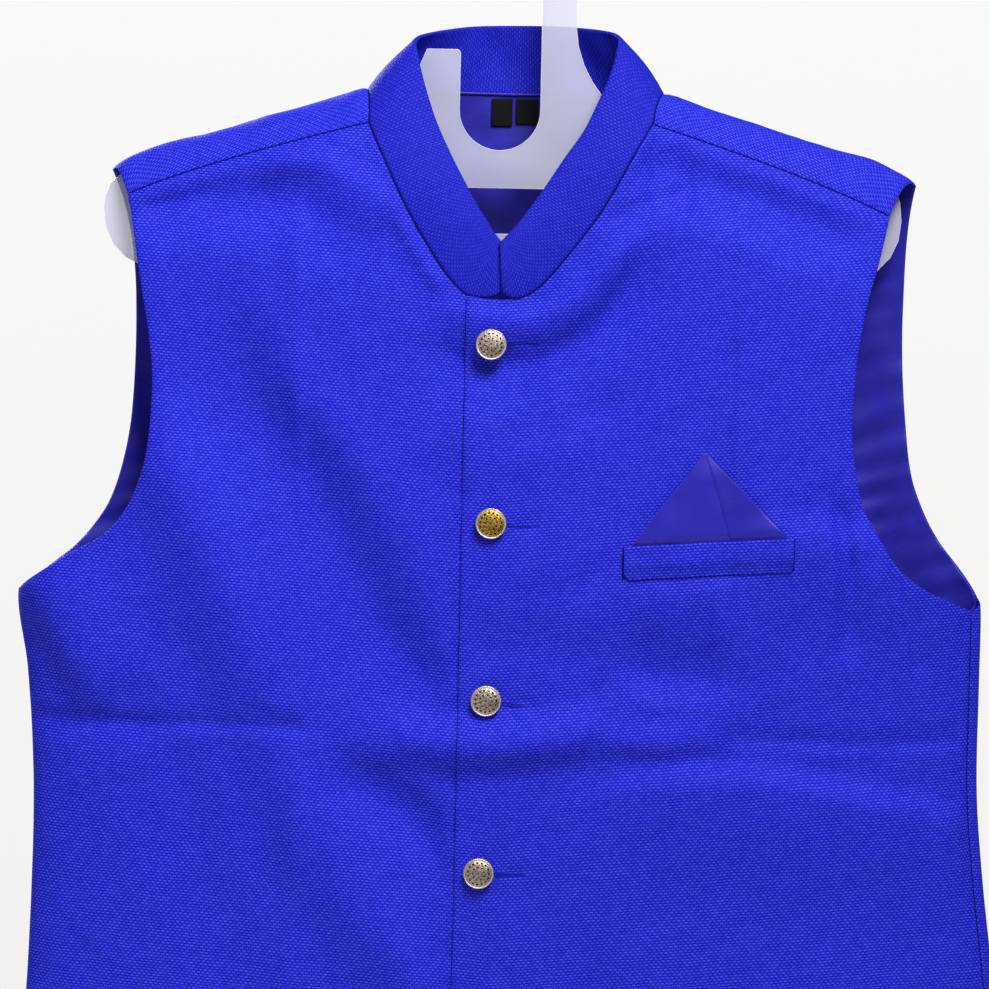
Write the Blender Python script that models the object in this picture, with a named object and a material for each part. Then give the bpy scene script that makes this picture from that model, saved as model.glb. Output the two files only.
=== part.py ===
"""Sleeveless nehru jacket, buttoned to the neck, hanging on a flat plastic hanger.

Frame: the origin is the inside top of the hanger's hook, where a rail carries it. +Z is up, -Y is the
jacket's front, and +X is the wearer's left. Sizes are in millimetres until mesh_object() makes them metres.

Every cloth piece is a wall cut from one hollow form, skin(). A place on that form is a turn round the body
(0 centre front, 1 the left side fold, 2 centre back, 3 the right side fold, also written -1) and a drop,
the distance below the neck points.
"""

import math
from typing import NamedTuple

import bmesh
import bpy
from mathutils import Vector
from mathutils.bvhtree import BVHTree

MM = 0.001
NECK_POINT_Z = -107.6  # the neck points hang this far below the rail

# Cloth and seams
SEAM_GAP = 0.3
LINING_GAP = 0.4
COLLAR_GAP = 0.8  # at the neck points, where the seam turns sharply
FRONT_WALL = 2.0
BACK_WALL = 1.5
LINING_WALL = 1.0
COLLAR_WALL = 3.0
WELT_WALL = 1.5
SQUARE_WALL = 1.0
LABEL_WALL = 1.0

# The hollow form
NECK_CENTRE = 9.2  # the jacket hangs this far to the wearer's left of the hook
NECK_HALF = 87.0  # half the width of the neck opening
NECK_ARCH = 90.0  # how far the form runs on above the neck points, as a neck would
NECK_BLEND = 1.4  # over 1 this lets the shoulders run into the neck with no crease
SHOULDER_ROLL = 115.0  # drop over which the shoulder rounds out to the full depth
ROLL_POWER = 2.5
SHOULDER_TIP = 49.0  # drop of the shoulder tips

# Placket
CENTRE_FRONT = 3.4
OVERLAP_LIFT = 2.4  # the left front lies this far out, over the right front
LIFT_FULL = 35.0  # the lift is whole up to this x, and gone at LIFT_ENDS
LIFT_ENDS = 80.0
PLACKET = (-17.0, -7.0, CENTRE_FRONT, 12.0, 21.0)  # x from the over-lap's edge to the under-lap's
PLACKET_SWINGS_FROM = 470.0  # below this drop the placket leans to the wearer's right
PLACKET_SWING = 7.0  # by this much at the hem
HEM = 727.0
SIDE_SEAM = 6.3  # x from the side fold to the side seam
LINING_HEM = 18.0  # the lining ends this far above the hem

FRONT_COLUMNS = 18  # cells from the placket to the armhole
FRONT_CROWD = 1.25  # above 1 they crowd towards the placket, which evens their widths
BACK_COLUMNS = 12  # cells from a shoulder tip to the neck point
SHOULDER_ROWS = 4  # cells over each shoulder, from its fold to the forward seam
CUT_SLANT = Vector((0.0, 0.7, 1.3))
RAY_START = 200.0  # this far in front of the jacket, to look for its face
STEP_TURN = 0.01
STEP_ROOT = 0.2


class Level(NamedTuple):
    """Where the side folds lie and how deep the form is, front and back, at one drop."""

    drop: float
    right: float
    left: float
    front: float
    back: float


LEVELS = (
    Level(-100, -256, 276, 36, 30),
    Level(50, -260, 280, 37, 30),
    Level(110, -261, 281, 38, 30),
    Level(200, -266, 283, 38, 30),
    Level(295, -275, 286.5, 36, 29),
    Level(340, -268.5, 286.3, 33, 28),
    Level(400, -264, 286.3, 31, 27),
    Level(450, -263.5, 290.5, 30, 26),
    Level(520, -265.3, 298.8, 29, 26),
    Level(620, -270.5, 305, 27, 25),
    Level(727, -276, 309, 26, 25),
)


class Reach(NamedTuple):
    """Drop of the shoulder's fold line at a distance from the neck's centre."""

    reach: float
    drop: float


SHOULDER = (
    Reach(0, -2),
    Reach(86, -2),
    Reach(100, 1.5),
    Reach(123, 9),
    Reach(148, 16.5),
    Reach(178, 26),
    Reach(203, 32),
    Reach(217, 37.5),
    Reach(229, 44),
    Reach(235, 49),
    Reach(252, 66),
)


class Spot(NamedTuple):
    """A drop, and the x of an edge there."""

    drop: float
    x: float


ARMHOLES = {
    "front_right": (
        Spot(63.7, -215.0),
        Spot(106, -207.0),
        Spot(158, -198.3),
        Spot(190, -197.3),
        Spot(218, -200.0),
        Spot(236, -206.0),
        Spot(249, -213.0),
        Spot(261, -224.0),
        Spot(274, -246.0),
        Spot(283, -260.0),
        Spot(289, -269.0),
        Spot(293.5, -274.8),
    ),
    "front_left": (
        Spot(68, 227.0),
        Spot(95, 221.0),
        Spot(118, 214.8),
        Spot(140, 210.7),
        Spot(162, 208.2),
        Spot(192, 207.0),
        Spot(220, 210.2),
        Spot(239, 215.4),
        Spot(254, 223.5),
        Spot(272, 234.8),
        Spot(284, 251.0),
        Spot(290, 265.0),
        Spot(296, 280.0),
    ),
    "back_right": (
        Spot(49, -225.8),
        Spot(75, -218.5),
        Spot(105, -213.5),
        Spot(150, -211.7),
        Spot(195, -213.3),
        Spot(220, -217.5),
        Spot(240, -224.0),
        Spot(255, -233.0),
        Spot(268, -244.0),
        Spot(278, -256.0),
        Spot(287, -267.0),
        Spot(293.5, -274.8),
    ),
    "back_left": (
        Spot(49, 244.2),
        Spot(75, 241.0),
        Spot(105, 239.8),
        Spot(150, 239.6),
        Spot(195, 243.0),
        Spot(220, 247.0),
        Spot(240, 254.5),
        Spot(255, 262.6),
        Spot(268, 272.6),
        Spot(278, 280.0),
        Spot(287, 285.0),
        Spot(293.5, 286.5),
    ),
}

BACK_SIDES = ("back_left", "back_right")

# The neck seam from the placket up to each forward shoulder seam
NECKLINES = {
    "front_right": (
        Spot(108, -28.5),
        Spot(92.7, -39),
        Spot(75.7, -49.3),
        Spot(55.7, -59.7),
        Spot(33.5, -70),
        Spot(19.5, -75.7),
    ),
    "front_left": (
        Spot(111, 28),
        Spot(96.8, 40),
        Spot(76.4, 55.3),
        Spot(56, 67.8),
        Spot(35, 79),
        Spot(17.5, 88.8),
    ),
}
NECK_FRONT = (119.5, 121.0, 121.5, 121.0, 117.0)  # drops of the neck seam at the PLACKET stations


class FrontRow(NamedTuple):
    """Drops of one row of a front, at the armhole and at the placket."""

    armhole: float
    placket: float


FRONT_ROWS = (
    FrontRow(293.5, 300),
    FrontRow(288, 281),
    FrontRow(279, 261),
    FrontRow(266, 241),
    FrontRow(250, 221),
    FrontRow(231, 202),
    FrontRow(206, 182),
    FrontRow(176, 162),
    FrontRow(148, 142),
)
CORNER_ARMHOLE = 125.0  # the row that meets the neck seam's lowest stretch ends here on the armhole
FAN_ARMHOLES = (110.0, 99.0, 90.0, 82.0, 75.0)  # the rows above it fan out from the neck seam

SIDE_ROWS = (727, 690, 645, 595, 545, 495, 450, 408, 370, 338, 314, 297)
FRONT_ROW_SAG = 21.0  # the topmost of them lies this much lower at the placket than at the underarm
BACK_ROW_SAG = 8.0  # and this much lower at centre back
SAG_ENDS = 640.0  # from this drop down the rows are level


class BackRow(NamedTuple):
    """Drops of one row of the back, at centre back and at the armholes."""

    centre: float
    armhole: float


BACK_ROWS = (
    BackRow(284, 288),
    BackRow(270, 276),
    BackRow(252, 260),
    BackRow(228, 240),
    BackRow(198, 218),
    BackRow(164, 192),
    BackRow(130, 162),
    BackRow(98, 136),
    BackRow(70, 112),
    BackRow(46, 92),
    BackRow(28, 77),
    BackRow(14, 65),
    BackRow(7, 58),
    BackRow(2, 53),
    BackRow(-1, 50),
    BackRow(-2, 49),
)


class Fold(NamedTuple):
    """A soft fold between two points of the front or back: how wide, and how far in (+) or out (-)."""

    x_from: float
    drop_from: float
    x_to: float
    drop_to: float
    half_width: float
    depth: float


FRONT_FOLDS = (
    Fold(-95, 190, -28, 362, 34, 3.5),
    Fold(-178, 150, -88, 345, 38, -3.0),
    Fold(-170, 115, -104, 235, 32, 2.0),
    Fold(-190, 215, -140, 385, 36, 2.0),
    Fold(-70, 390, -8, 520, 38, -2.5),
    Fold(-128, 470, -92, 640, 36, 2.5),
    Fold(205, 300, 215, 400, 30, 2.0),
    Fold(165, 300, 158, 420, 30, -1.5),
    Fold(70, 420, 60, 640, 40, 2.5),
    Fold(190, 440, 205, 660, 40, -3.0),
    Fold(-210, 420, -205, 640, 34, -2.5),
)
BACK_FOLDS = (
    Fold(-150, 90, -60, 330, 44, 3.0),
    Fold(150, 90, 80, 340, 44, 3.0),
    Fold(5, 110, 12, 300, 46, -2.0),
    Fold(-190, 300, -175, 560, 44, 2.5),
    Fold(205, 300, 195, 560, 44, 2.5),
    Fold(-70, 420, -80, 660, 48, -2.5),
    Fold(90, 430, 105, 660, 48, -2.5),
    Fold(10, 380, 5, 660, 44, 2.5),
)


class CollarRow(NamedTuple):
    """The collar's top edge at a share of its length, from the right front's end to the left front's."""

    share: float
    x: float
    drop: float
    y: float


COLLAR = (
    CollarRow(0.0, 1.9, 88.6, -36.0),
    CollarRow(0.04, -2.2, 81.6, -35.8),
    CollarRow(0.075, -6.5, 75.0, -35.2),
    CollarRow(0.108, -12.5, 65.4, -34.0),
    CollarRow(0.145, -19.5, 52.6, -32.0),
    CollarRow(0.185, -27.5, 37.2, -29.0),
    CollarRow(0.226, -35.8, 19.5, -25.0),
    CollarRow(0.253, -41.0, 5.4, -21.5),
    CollarRow(0.277, -45.6, -9.5, -16.0),
    CollarRow(0.298, -49.0, -22.5, -9.0),
    CollarRow(0.317, -50.6, -30.5, 0.0),
    CollarRow(0.348, -46.5, -35.6, 9.5),
    CollarRow(0.425, -20.5, -41.6, 25.2),
    CollarRow(0.496, 9.2, -43.2, 30.0),
    CollarRow(0.567, 39.4, -42.8, 25.4),
    CollarRow(0.644, 63.4, -39.4, 9.5),
    CollarRow(0.676, 69.3, -35.0, 0.5),
    CollarRow(0.694, 68.0, -27.5, -6.0),
    CollarRow(0.71, 65.9, -19.5, -11.0),
    CollarRow(0.727, 62.8, -10.0, -16.0),
    CollarRow(0.752, 57.0, 4.2, -21.5),
    CollarRow(0.786, 48.6, 22.0, -25.6),
    CollarRow(0.826, 37.6, 38.6, -30.0),
    CollarRow(0.868, 26.2, 56.6, -33.4),
    CollarRow(0.912, 14.4, 73.6, -36.2),
    CollarRow(0.955, 6.8, 83.0, -37.8),
    CollarRow(1.0, 2.7, 88.6, -38.4),
)
COLLAR_END_LIFT = 2.4  # the collar's ends are rounded up this far off the neck seam
COLLAR_END_GAP = 0.5  # from centre front to each end
COLLAR_NECK_X = (85.2, 80.0, 65.0, 36.0)  # x of the back's columns, each side of the neck's centre
COLLAR_ROWS = 3

# Buttons
BUTTON_RADIUS = 9.0
BUTTON_DOME = 4.4
BUTTON_EDGE = 1.2
BUTTON_SHANK_RADIUS = 2.4
BUTTON_SHANK = 1.8
BUTTON_SIDES = 18
BUTTONS = (Spot(147.5, -2.2), Spot(250, -0.2), Spot(352, -1.0), Spot(451.5, -3.2), Spot(551, -6.0))

# Chest pocket on the left front
WELT_LEFT = 76.5
WELT_RIGHT = 173.5
WELT_TOP = 262.0  # drop of its top edge at WELT_LEFT
WELT_HEIGHT = 19.4
WELT_RISE = 7.2  # it climbs this much towards the armhole
WELT_SEAT = 0.4  # clearance between the pocket's layers and the front
WELT_STEPS = (0.0, 9.5, 15.0, WELT_HEIGHT)  # the welt's rows, below its top edge
SQUARE_APEX = Spot(207.0, 123.5)
SQUARE_TUCK = 8.0  # the square runs this far down inside the welt
SQUARE_OVER = (78.5, 132.5)  # x of the upper layer's foot, where it leaves the welt
SQUARE_UNDER = (112.0, 170.0)

# Labels below the back neck seam, on the lining
LABELS = {"neck_label_wide": (-5.0, 7.4, 16.4), "neck_label_narrow": (9.4, 22.6, 15.0)}
LABEL_SEAT = 0.5

# Hanger
SHEET = 1.5  # thickness
HOOK_INNER = 23.6
HOOK_OUTER = 43.6
HOOK_TIP_Z = -26.0
STEM_CUT_Z = -60.0  # the hook is a solid of its own above this height
THROAT_DROP = 9.1  # drop of the centre of the round throat under the hook
THROAT_RADIUS = 23.5
PRONG_TOP_DROP = -25.8
PRONG_LEFT = -47.2
HANGER_SEAT = 4.0  # the top edge lies this far under the shoulder's fold line
HANGER_SADDLE = 5.0  # and this far under the neck points
HANGER_FOOT = 104.0
WINDOW = (-62.0, 64.0, 54.8, 81.3)  # left, right, top drop, bottom drop
WINDOW_RADIUS = 8.0

# Colours as linear RGB
ROYAL_BLUE = (0.020, 0.024, 0.61)
LINING_BLUE = (0.038, 0.034, 0.33)
LABEL_BLACK = (0.012, 0.012, 0.016)
BRASS = (0.38, 0.27, 0.12)
FROSTED = (0.72, 0.74, 0.80)


def curve(table, column, at):
    """Value of a column of a table at a place in its first column, on a smooth line through the rows."""
    last = len(table) - 1
    index = 0
    while index < last - 1 and at > table[index + 1][0]:
        index += 1
    before, start, end, after = (table[min(max(index + step, 0), last)] for step in (-1, 0, 1, 2))
    span = end[0] - start[0]
    part = (at - start[0]) / span
    value_start, value_end = getattr(start, column), getattr(end, column)
    if not 0.0 <= part <= 1.0:
        return value_start + (value_end - value_start) * part
    slope_start = (value_end - getattr(before, column)) / (end[0] - before[0])
    slope_end = (getattr(after, column) - value_start) / (after[0] - start[0])
    square, cube = part * part, part**3
    return (
        value_start * (2 * cube - 3 * square + 1)
        + slope_start * span * (cube - 2 * square + part)
        + value_end * (3 * square - 2 * cube)
        + slope_end * span * (cube - square)
    )


def mix(start, end, part):
    return start + (end - start) * part


def ease(part):
    part = min(max(part, 0.0), 1.0)
    return part * part * (3 - 2 * part)


def shoulder_drop(x):
    """Drop of the line that the shoulders fold on, carried level across the neck."""
    return curve(SHOULDER, "drop", abs(x - NECK_CENTRE))


def roundness(x, drop):
    """How much of its full depth the form has: none on the shoulder's fold, all a hand below it."""
    reach = (x - NECK_CENTRE) / NECK_HALF
    below = drop - shoulder_drop(x) + NECK_ARCH * max(0.0, 1 - reach * reach) ** NECK_BLEND
    part = min(max(below / SHOULDER_ROLL, 0.0), 1.0)
    return math.sqrt(1 - (1 - part) ** ROLL_POWER)


def fold_depth(folds, x, drop):
    """How far in the soft folds take the cloth at a point."""
    total = 0.0
    for fold in folds:
        run_x, run_drop = fold.x_to - fold.x_from, fold.drop_to - fold.drop_from
        length = math.hypot(run_x, run_drop)
        along = ((x - fold.x_from) * run_x + (drop - fold.drop_from) * run_drop) / length
        aside = ((x - fold.x_from) * run_drop - (drop - fold.drop_from) * run_x) / length
        end_fade = ease(0.5 + along / length * 3) * ease(0.5 + (length - along) / length * 3)
        if abs(aside) < fold.half_width:
            total += fold.depth * end_fade * (0.5 + 0.5 * math.cos(math.pi * aside / fold.half_width))
    return total


def centre_and_half(drop):
    right, left = curve(LEVELS, "right", drop), curve(LEVELS, "left", drop)
    return (left + right) / 2, (left - right) / 2


def skin_x(turn, drop):
    centre, half = centre_and_half(drop)
    return centre + half * math.sin(turn * math.pi / 2)


def skin(turn, drop):
    """The point of the hollow form at a turn and a drop."""
    sine, cosine = math.sin(turn * math.pi / 2), math.cos(turn * math.pi / 2)
    in_front = cosine > 0
    x = skin_x(turn, drop)
    depth = curve(LEVELS, "front" if in_front else "back", drop) * math.sqrt(1 + sine * sine)
    folds = fold_depth(FRONT_FOLDS if in_front else BACK_FOLDS, x, drop) * min(1.0, abs(cosine) * 3)
    y = -cosine * depth * roundness(x, drop) + (folds if in_front else -folds)
    return Vector((x, y, NECK_POINT_Z - drop))


def turn_at(x, drop, behind=False):
    """The turn of the form's point at an x and a drop, in front or behind."""
    centre, half = centre_and_half(drop)
    turn = math.asin(min(max((x - centre) / half, -1.0), 1.0)) * 2 / math.pi
    return 2 - turn if behind else turn


def drop_below(turn, root):
    """The drop that lies root squared below the shoulder line, along one turn."""
    drop = root * root
    for _ in range(4):
        drop = shoulder_drop(skin_x(turn, drop)) + root * root
    return drop


def outward(turn, drop):
    """The unit vector out of the form."""
    root = math.sqrt(max(drop - shoulder_drop(skin_x(turn, drop)), 0.0))
    here = skin(turn, drop_below(turn, root))
    down = skin(turn, drop_below(turn, root + STEP_ROOT)) - here
    before, after = turn - STEP_TURN, turn + STEP_TURN
    across = skin(after, drop_below(after, root)) - skin(before, drop_below(before, root))
    return down.cross(across).normalized()


def lift_at(x):
    """How far out the left front is carried by the right front under it."""
    return OVERLAP_LIFT * (1 - ease((x - LIFT_FULL) / (LIFT_ENDS - LIFT_FULL)))


def placket_x(station, drop):
    return station - PLACKET_SWING * ease((drop - PLACKET_SWINGS_FROM) / (HEM - PLACKET_SWINGS_FROM))


class Wall:
    """A wall of cloth: points with an outer and an inner face, joined by cells and closed at every edge."""

    def __init__(self):
        self.outer = []
        self.inner = []
        self.cells = []

    def add(self, outer, inner):
        self.outer.append(outer)
        self.inner.append(inner)
        return len(self.outer) - 1

    def on_form(self, turn, drop, thickness, raised=0.0):
        """Adds a point of the form, its outer face raised from it, and returns its number."""
        point, normal = skin(turn, drop), outward(turn, drop)
        return self.add(point + normal * raised, point + normal * (raised - thickness))

    def join(self, rows):
        """Adds the cells between each row of point numbers and the next."""
        for lower, upper in zip(rows, rows[1:]):
            for column in range(len(lower) - 1):
                self.cells.append((lower[column], lower[column + 1], upper[column + 1], upper[column]))

    def rank(self, corner):
        """Orders points along a slant out and up from the centre front, which cuts walls that touch alike."""
        point = self.outer[corner]
        return abs(point.x - CENTRE_FRONT) + CUT_SLANT.dot(point)

    def triangles(self):
        """Each cell as two triangles."""
        for cell in self.cells:
            rank = [self.rank(corner) for corner in cell]
            if abs(rank[0] - rank[2]) > abs(rank[1] - rank[3]):
                yield cell[0], cell[1], cell[2]
                yield cell[0], cell[2], cell[3]
            else:
                yield cell[1], cell[2], cell[3]
                yield cell[1], cell[3], cell[0]

    def build(self, name, material):
        count = len(self.outer)
        faces, edges = [], {}
        for triangle in self.triangles():
            faces.append(triangle)
            faces.append(tuple(corner + count for corner in reversed(triangle)))
            for ends in zip(triangle, triangle[1:] + triangle[:1]):
                edge = tuple(sorted(ends))
                edges[edge] = edges.get(edge, 0) + 1
        for edge, uses in edges.items():
            if uses == 1:
                start, end = sorted(edge, key=self.rank)
                faces.append((end, start, start + count))
                faces.append((end, start + count, end + count))
        return mesh_object(name, self.outer + self.inner, faces, material)


def mesh_object(name, points, faces, material):
    """A named object from points in millimetres, its faces turned outwards."""
    mesh = bpy.data.meshes.new(name)
    mesh.from_pydata([point * MM for point in points], [], faces)
    work = bmesh.new()
    work.from_mesh(mesh)
    bmesh.ops.recalc_face_normals(work, faces=work.faces)
    work.to_mesh(mesh)
    work.free()
    mesh.shade_smooth()
    mesh.set_sharp_from_angle(angle=math.radians(40))
    mesh.materials.append(material)
    part = bpy.data.objects.new(name, mesh)
    bpy.context.scene.collection.objects.link(part)
    return part


def surface_material(name, colour, roughness, metallic=0.0):
    material = bpy.data.materials.new(name)
    material.use_nodes = True
    shader = material.node_tree.nodes["Principled BSDF"]
    shader.inputs["Base Color"].default_value = (*colour, 1.0)
    shader.inputs["Roughness"].default_value = roughness
    shader.inputs["Metallic"].default_value = metallic
    material.diffuse_color = (*colour, 1.0)
    return material


def row_sag(drop):
    """Share of the full sag that a row at or below the underarm has."""
    return ease((SAG_ENDS - drop) / (SAG_ENDS - SIDE_ROWS[-1]))


def front_side_turn(is_left, drop):
    """The turn of a front's outer edge below the underarm, which is the side seam."""
    right, left = curve(LEVELS, "right", drop), curve(LEVELS, "left", drop)
    if is_left:
        return turn_at(left - SIDE_SEAM, drop)
    return turn_at(right + SIDE_SEAM, drop, behind=True) - 4


def front_row(wall, is_left, drops, armhole_turn, armhole_drop, raise_at):
    """One row of a front: its placket stations, then cells out to the armhole or side seam."""
    stations = list(zip(PLACKET, drops)) if is_left else list(zip(PLACKET, drops))[::-1]
    row = []
    for station, drop in stations:
        x = placket_x(station, drop)
        row.append(wall.on_form(turn_at(x, drop), drop, FRONT_WALL, raise_at(x)))
    start_turn, start_drop = turn_at(x, drop), drop
    return row + fan(wall, start_turn, start_drop, armhole_turn, armhole_drop, raise_at)


def fan(wall, start_turn, start_drop, end_turn, end_drop, raise_at):
    """The points of a row after its first, about evenly spaced across the body."""
    row = []
    for column in range(1, FRONT_COLUMNS + 1):
        part = (column / FRONT_COLUMNS) ** FRONT_CROWD
        turn, drop = mix(start_turn, end_turn, part), mix(start_drop, end_drop, part)
        row.append(wall.on_form(turn, drop, FRONT_WALL, raise_at(skin_x(turn, drop))))
    return row


def make_front(name, material):
    """A front panel, from the hem up to the forward shoulder seam."""
    is_left = name == "front_left"
    raise_at = lift_at if is_left else (lambda x: 0.0)
    armhole, neckline = ARMHOLES[name], NECKLINES[name]
    wall = Wall()
    rows = []
    for drop in SIDE_ROWS:
        drops = (drop + FRONT_ROW_SAG * row_sag(drop),) * len(PLACKET)
        rows.append(front_row(wall, is_left, drops, front_side_turn(is_left, drop), drop, raise_at))
    for armhole_drop, placket_drop in FRONT_ROWS:
        turn = turn_at(curve(armhole, "x", armhole_drop), armhole_drop)
        rows.append(front_row(wall, is_left, (placket_drop,) * len(PLACKET), turn, armhole_drop, raise_at))
    turn = turn_at(curve(armhole, "x", CORNER_ARMHOLE), CORNER_ARMHOLE)
    rows.append(front_row(wall, is_left, NECK_FRONT, turn, CORNER_ARMHOLE, raise_at))
    wall.join(rows)
    upper = [rows[-1][len(PLACKET) - 1 :]]
    for spot, armhole_drop in zip(neckline, (*FAN_ARMHOLES, armhole[0].drop)):
        turn = turn_at(curve(armhole, "x", armhole_drop), armhole_drop)
        neck_turn = turn_at(spot.x, spot.drop)
        first = wall.on_form(neck_turn, spot.drop, FRONT_WALL, raise_at(spot.x))
        upper.append([first] + fan(wall, neck_turn, spot.drop, turn, armhole_drop, raise_at))
    wall.join(upper)
    return wall.build(name, material)


def neck_turns():
    """The turns of the back's columns across the neck, from the wearer's left neck point to the right."""
    left = (NECK_HALF, *COLLAR_NECK_X, 0.0)
    offsets = left + tuple(-offset for offset in reversed(left[:-1]))
    return [turn_at(NECK_CENTRE + offset, 0.0, behind=True) for offset in offsets]


def shoulder_shares():
    """Where the back's columns stand along a shoulder, from its tip (0) to the neck point (1)."""
    return [1 - (1 - step / BACK_COLUMNS) ** FRONT_CROWD for step in range(BACK_COLUMNS + 1)]


def back_columns():
    """Where the back's columns stand between its two edges: shoulder, neck, shoulder."""
    tips = [turn_at(curve(ARMHOLES[side], "x", SHOULDER_TIP), SHOULDER_TIP, True) for side in BACK_SIDES]
    necks = neck_turns()
    shares = shoulder_shares()
    turns = [mix(tips[0], necks[0], share) for share in shares[:-1]]
    turns += necks[:-1]
    turns += [mix(tips[1], necks[-1], share) for share in reversed(shares)]
    return [(turn - tips[0]) / (tips[1] - tips[0]) for turn in turns]


def back_row(wall, parts, row, ends, thickness, raised):
    """One row of the back or its lining between two end turns."""
    numbers = []
    for part in parts:
        turn = mix(ends[0], ends[1], part)
        rise = (shoulder_drop(skin_x(turn, row.centre)) + 2) / (SHOULDER_TIP + 2)
        drop = mix(row.centre, row.armhole, min(max(rise, 0.0), 1.0))
        numbers.append(wall.on_form(turn, drop, thickness, raised))
    return numbers


def back_ends(drop):
    """The two end turns of a row of the back: side seams, or armhole edges above the underarm."""
    if drop >= SIDE_ROWS[-1]:
        return front_side_turn(True, drop), front_side_turn(False, drop) + 4
    return [turn_at(curve(ARMHOLES[side], "x", drop), drop, behind=True) for side in BACK_SIDES]


def back_rows(wall, thickness, raised, side_rows):
    """All rows of the back or its lining, from the lower edge to the top."""
    parts = back_columns()
    rows = []
    seam_turn = turn_of_gap()
    for drop in side_rows:
        ends = back_ends(drop)
        ends = (ends[0] + seam_turn, ends[1] - seam_turn)
        sag = BACK_ROW_SAG * row_sag(drop)
        rows.append(back_row(wall, parts, BackRow(drop + sag, drop), ends, thickness, raised))
    for row in BACK_ROWS:
        rows.append(back_row(wall, parts, row, back_ends(row.armhole), thickness, raised))
    return rows


def strip_place(name, along, step):
    """Turn and drop of a shoulder strip's point: along from the tip (0) to the neck (1), step from the fold."""
    armhole, neckline = ARMHOLES[name], NECKLINES[name]
    is_left = name == "front_left"
    tip_x = curve(ARMHOLES["back_left" if is_left else "back_right"], "x", SHOULDER_TIP)
    neck_x = NECK_CENTRE + (NECK_HALF if is_left else -NECK_HALF)
    top_turn = mix(turn_at(tip_x, SHOULDER_TIP), turn_at(neck_x, 0.0), along)
    seam_turn = mix(turn_at(armhole[0].x, armhole[0].drop), turn_at(neckline[-1].x, neckline[-1].drop), along)
    seam_drop = mix(armhole[0].drop, neckline[-1].drop, along) - SEAM_GAP
    if step == SHOULDER_ROWS:
        return seam_turn, seam_drop
    root = math.sqrt(seam_drop - shoulder_drop(skin_x(seam_turn, seam_drop))) * step / SHOULDER_ROWS
    turn = mix(top_turn, seam_turn, step / SHOULDER_ROWS)
    return turn, drop_below(turn, root)


def make_back(material):
    """The back panel, with its two extensions over the shoulders to the forward shoulder seams."""
    wall = Wall()
    rows = back_rows(wall, BACK_WALL, 0.0, SIDE_ROWS)
    wall.join(rows)
    top = rows[-1]
    tops = {"front_left": top[: BACK_COLUMNS + 1], "front_right": top[: -BACK_COLUMNS - 2 : -1]}
    for name, first in tops.items():
        strip = [first]
        for step in range(1, SHOULDER_ROWS + 1):
            places = [strip_place(name, share, step) for share in shoulder_shares()]
            strip.append([wall.on_form(turn, drop, BACK_WALL) for turn, drop in places])
        wall.join(strip)
    return wall.build("back", material)


def turn_of_gap():
    """The turn that moves a point near the side fold by one seam gap, measured across the fold."""
    across = (skin(1 + STEP_TURN, HEM) - skin(1 - STEP_TURN, HEM)).length / (2 * STEP_TURN)
    return SEAM_GAP / across


def make_lining(material):
    """The satin inside the back, from the neck seam to a little above the hem."""
    wall = Wall()
    side_rows = (HEM - LINING_HEM, *SIDE_ROWS[1:])
    wall.join(back_rows(wall, LINING_WALL, -BACK_WALL - LINING_GAP, side_rows))
    return wall.build("back_lining", material)


def half_neck_seam(name):
    """Turns and drops of the neck seam from centre front up to one neck point."""
    is_left = name == "front_left"
    way = 1 if is_left else -1
    end_x = CENTRE_FRONT + way * COLLAR_END_GAP
    end_drop = NECK_FRONT[2] - COLLAR_END_LIFT
    places = [(turn_at(end_x, end_drop), end_drop)]
    for x, drop in list(zip(PLACKET, NECK_FRONT))[::way][3:]:
        places.append((turn_at(x, drop), drop))
    for spot in NECKLINES[name]:
        places.append((turn_at(spot.x, spot.drop), spot.drop))
    return places + [strip_place(name, 1.0, step) for step in range(SHOULDER_ROWS - 1, 0, -1)]


def neck_seam():
    """Points and outward vectors of the whole neck seam, from the right front's end to the left front's."""
    right, left = half_neck_seam("front_right"), half_neck_seam("front_left")
    behind = [(turn, shoulder_drop(skin_x(turn, 0.0))) for turn in reversed(neck_turns())]
    seam = []
    for turn, drop in right + behind + left[::-1]:
        normal = outward(turn, drop)
        x = skin_x(turn, drop)
        raised = lift_at(x) if (turn, drop) in left else 0.0
        seam.append((skin(turn, drop) + normal * raised, normal))
    return seam


def make_collar(material):
    """The band collar: a ruled wall from the neck seam to its top edge, open at centre front."""
    seam = neck_seam()
    last = len(seam) - 1
    travelled = [0.0]
    for (before, _), (point, _) in zip(seam, seam[1:]):
        travelled.append(travelled[-1] + (point - before).length)
    shares = [length / travelled[-1] for length in travelled]
    tops = []
    for share in shares:
        x, drop, y = (curve(COLLAR, column, share) for column in ("x", "drop", "y"))
        tops.append(Vector((x, y, NECK_POINT_Z - drop)))
    wall = Wall()
    rows = [[] for _ in range(COLLAR_ROWS + 1)]
    for index, (point, normal) in enumerate(seam):
        ahead, behind = min(index + 1, last), max(index - 1, 0)
        along = seam[ahead][0] - seam[behind][0]
        up = along.cross(normal).normalized()
        if up.dot(tops[index] - point) < 0:
            up = -up
        foot = point + up * mix(SEAM_GAP, COLLAR_GAP, abs(normal.z))
        out = (along + tops[ahead] - tops[behind]).cross(tops[index] - foot).normalized()
        if out.dot(normal) < 0:
            out = -out
        rows[0].append(wall.add(foot, foot - normal * COLLAR_WALL))
        for step in range(1, COLLAR_ROWS + 1):
            place = mix(foot, tops[index], step / COLLAR_ROWS)
            rows[step].append(wall.add(place, place - out * COLLAR_WALL))
    wall.join(rows)
    return wall.build("collar", material)


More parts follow.
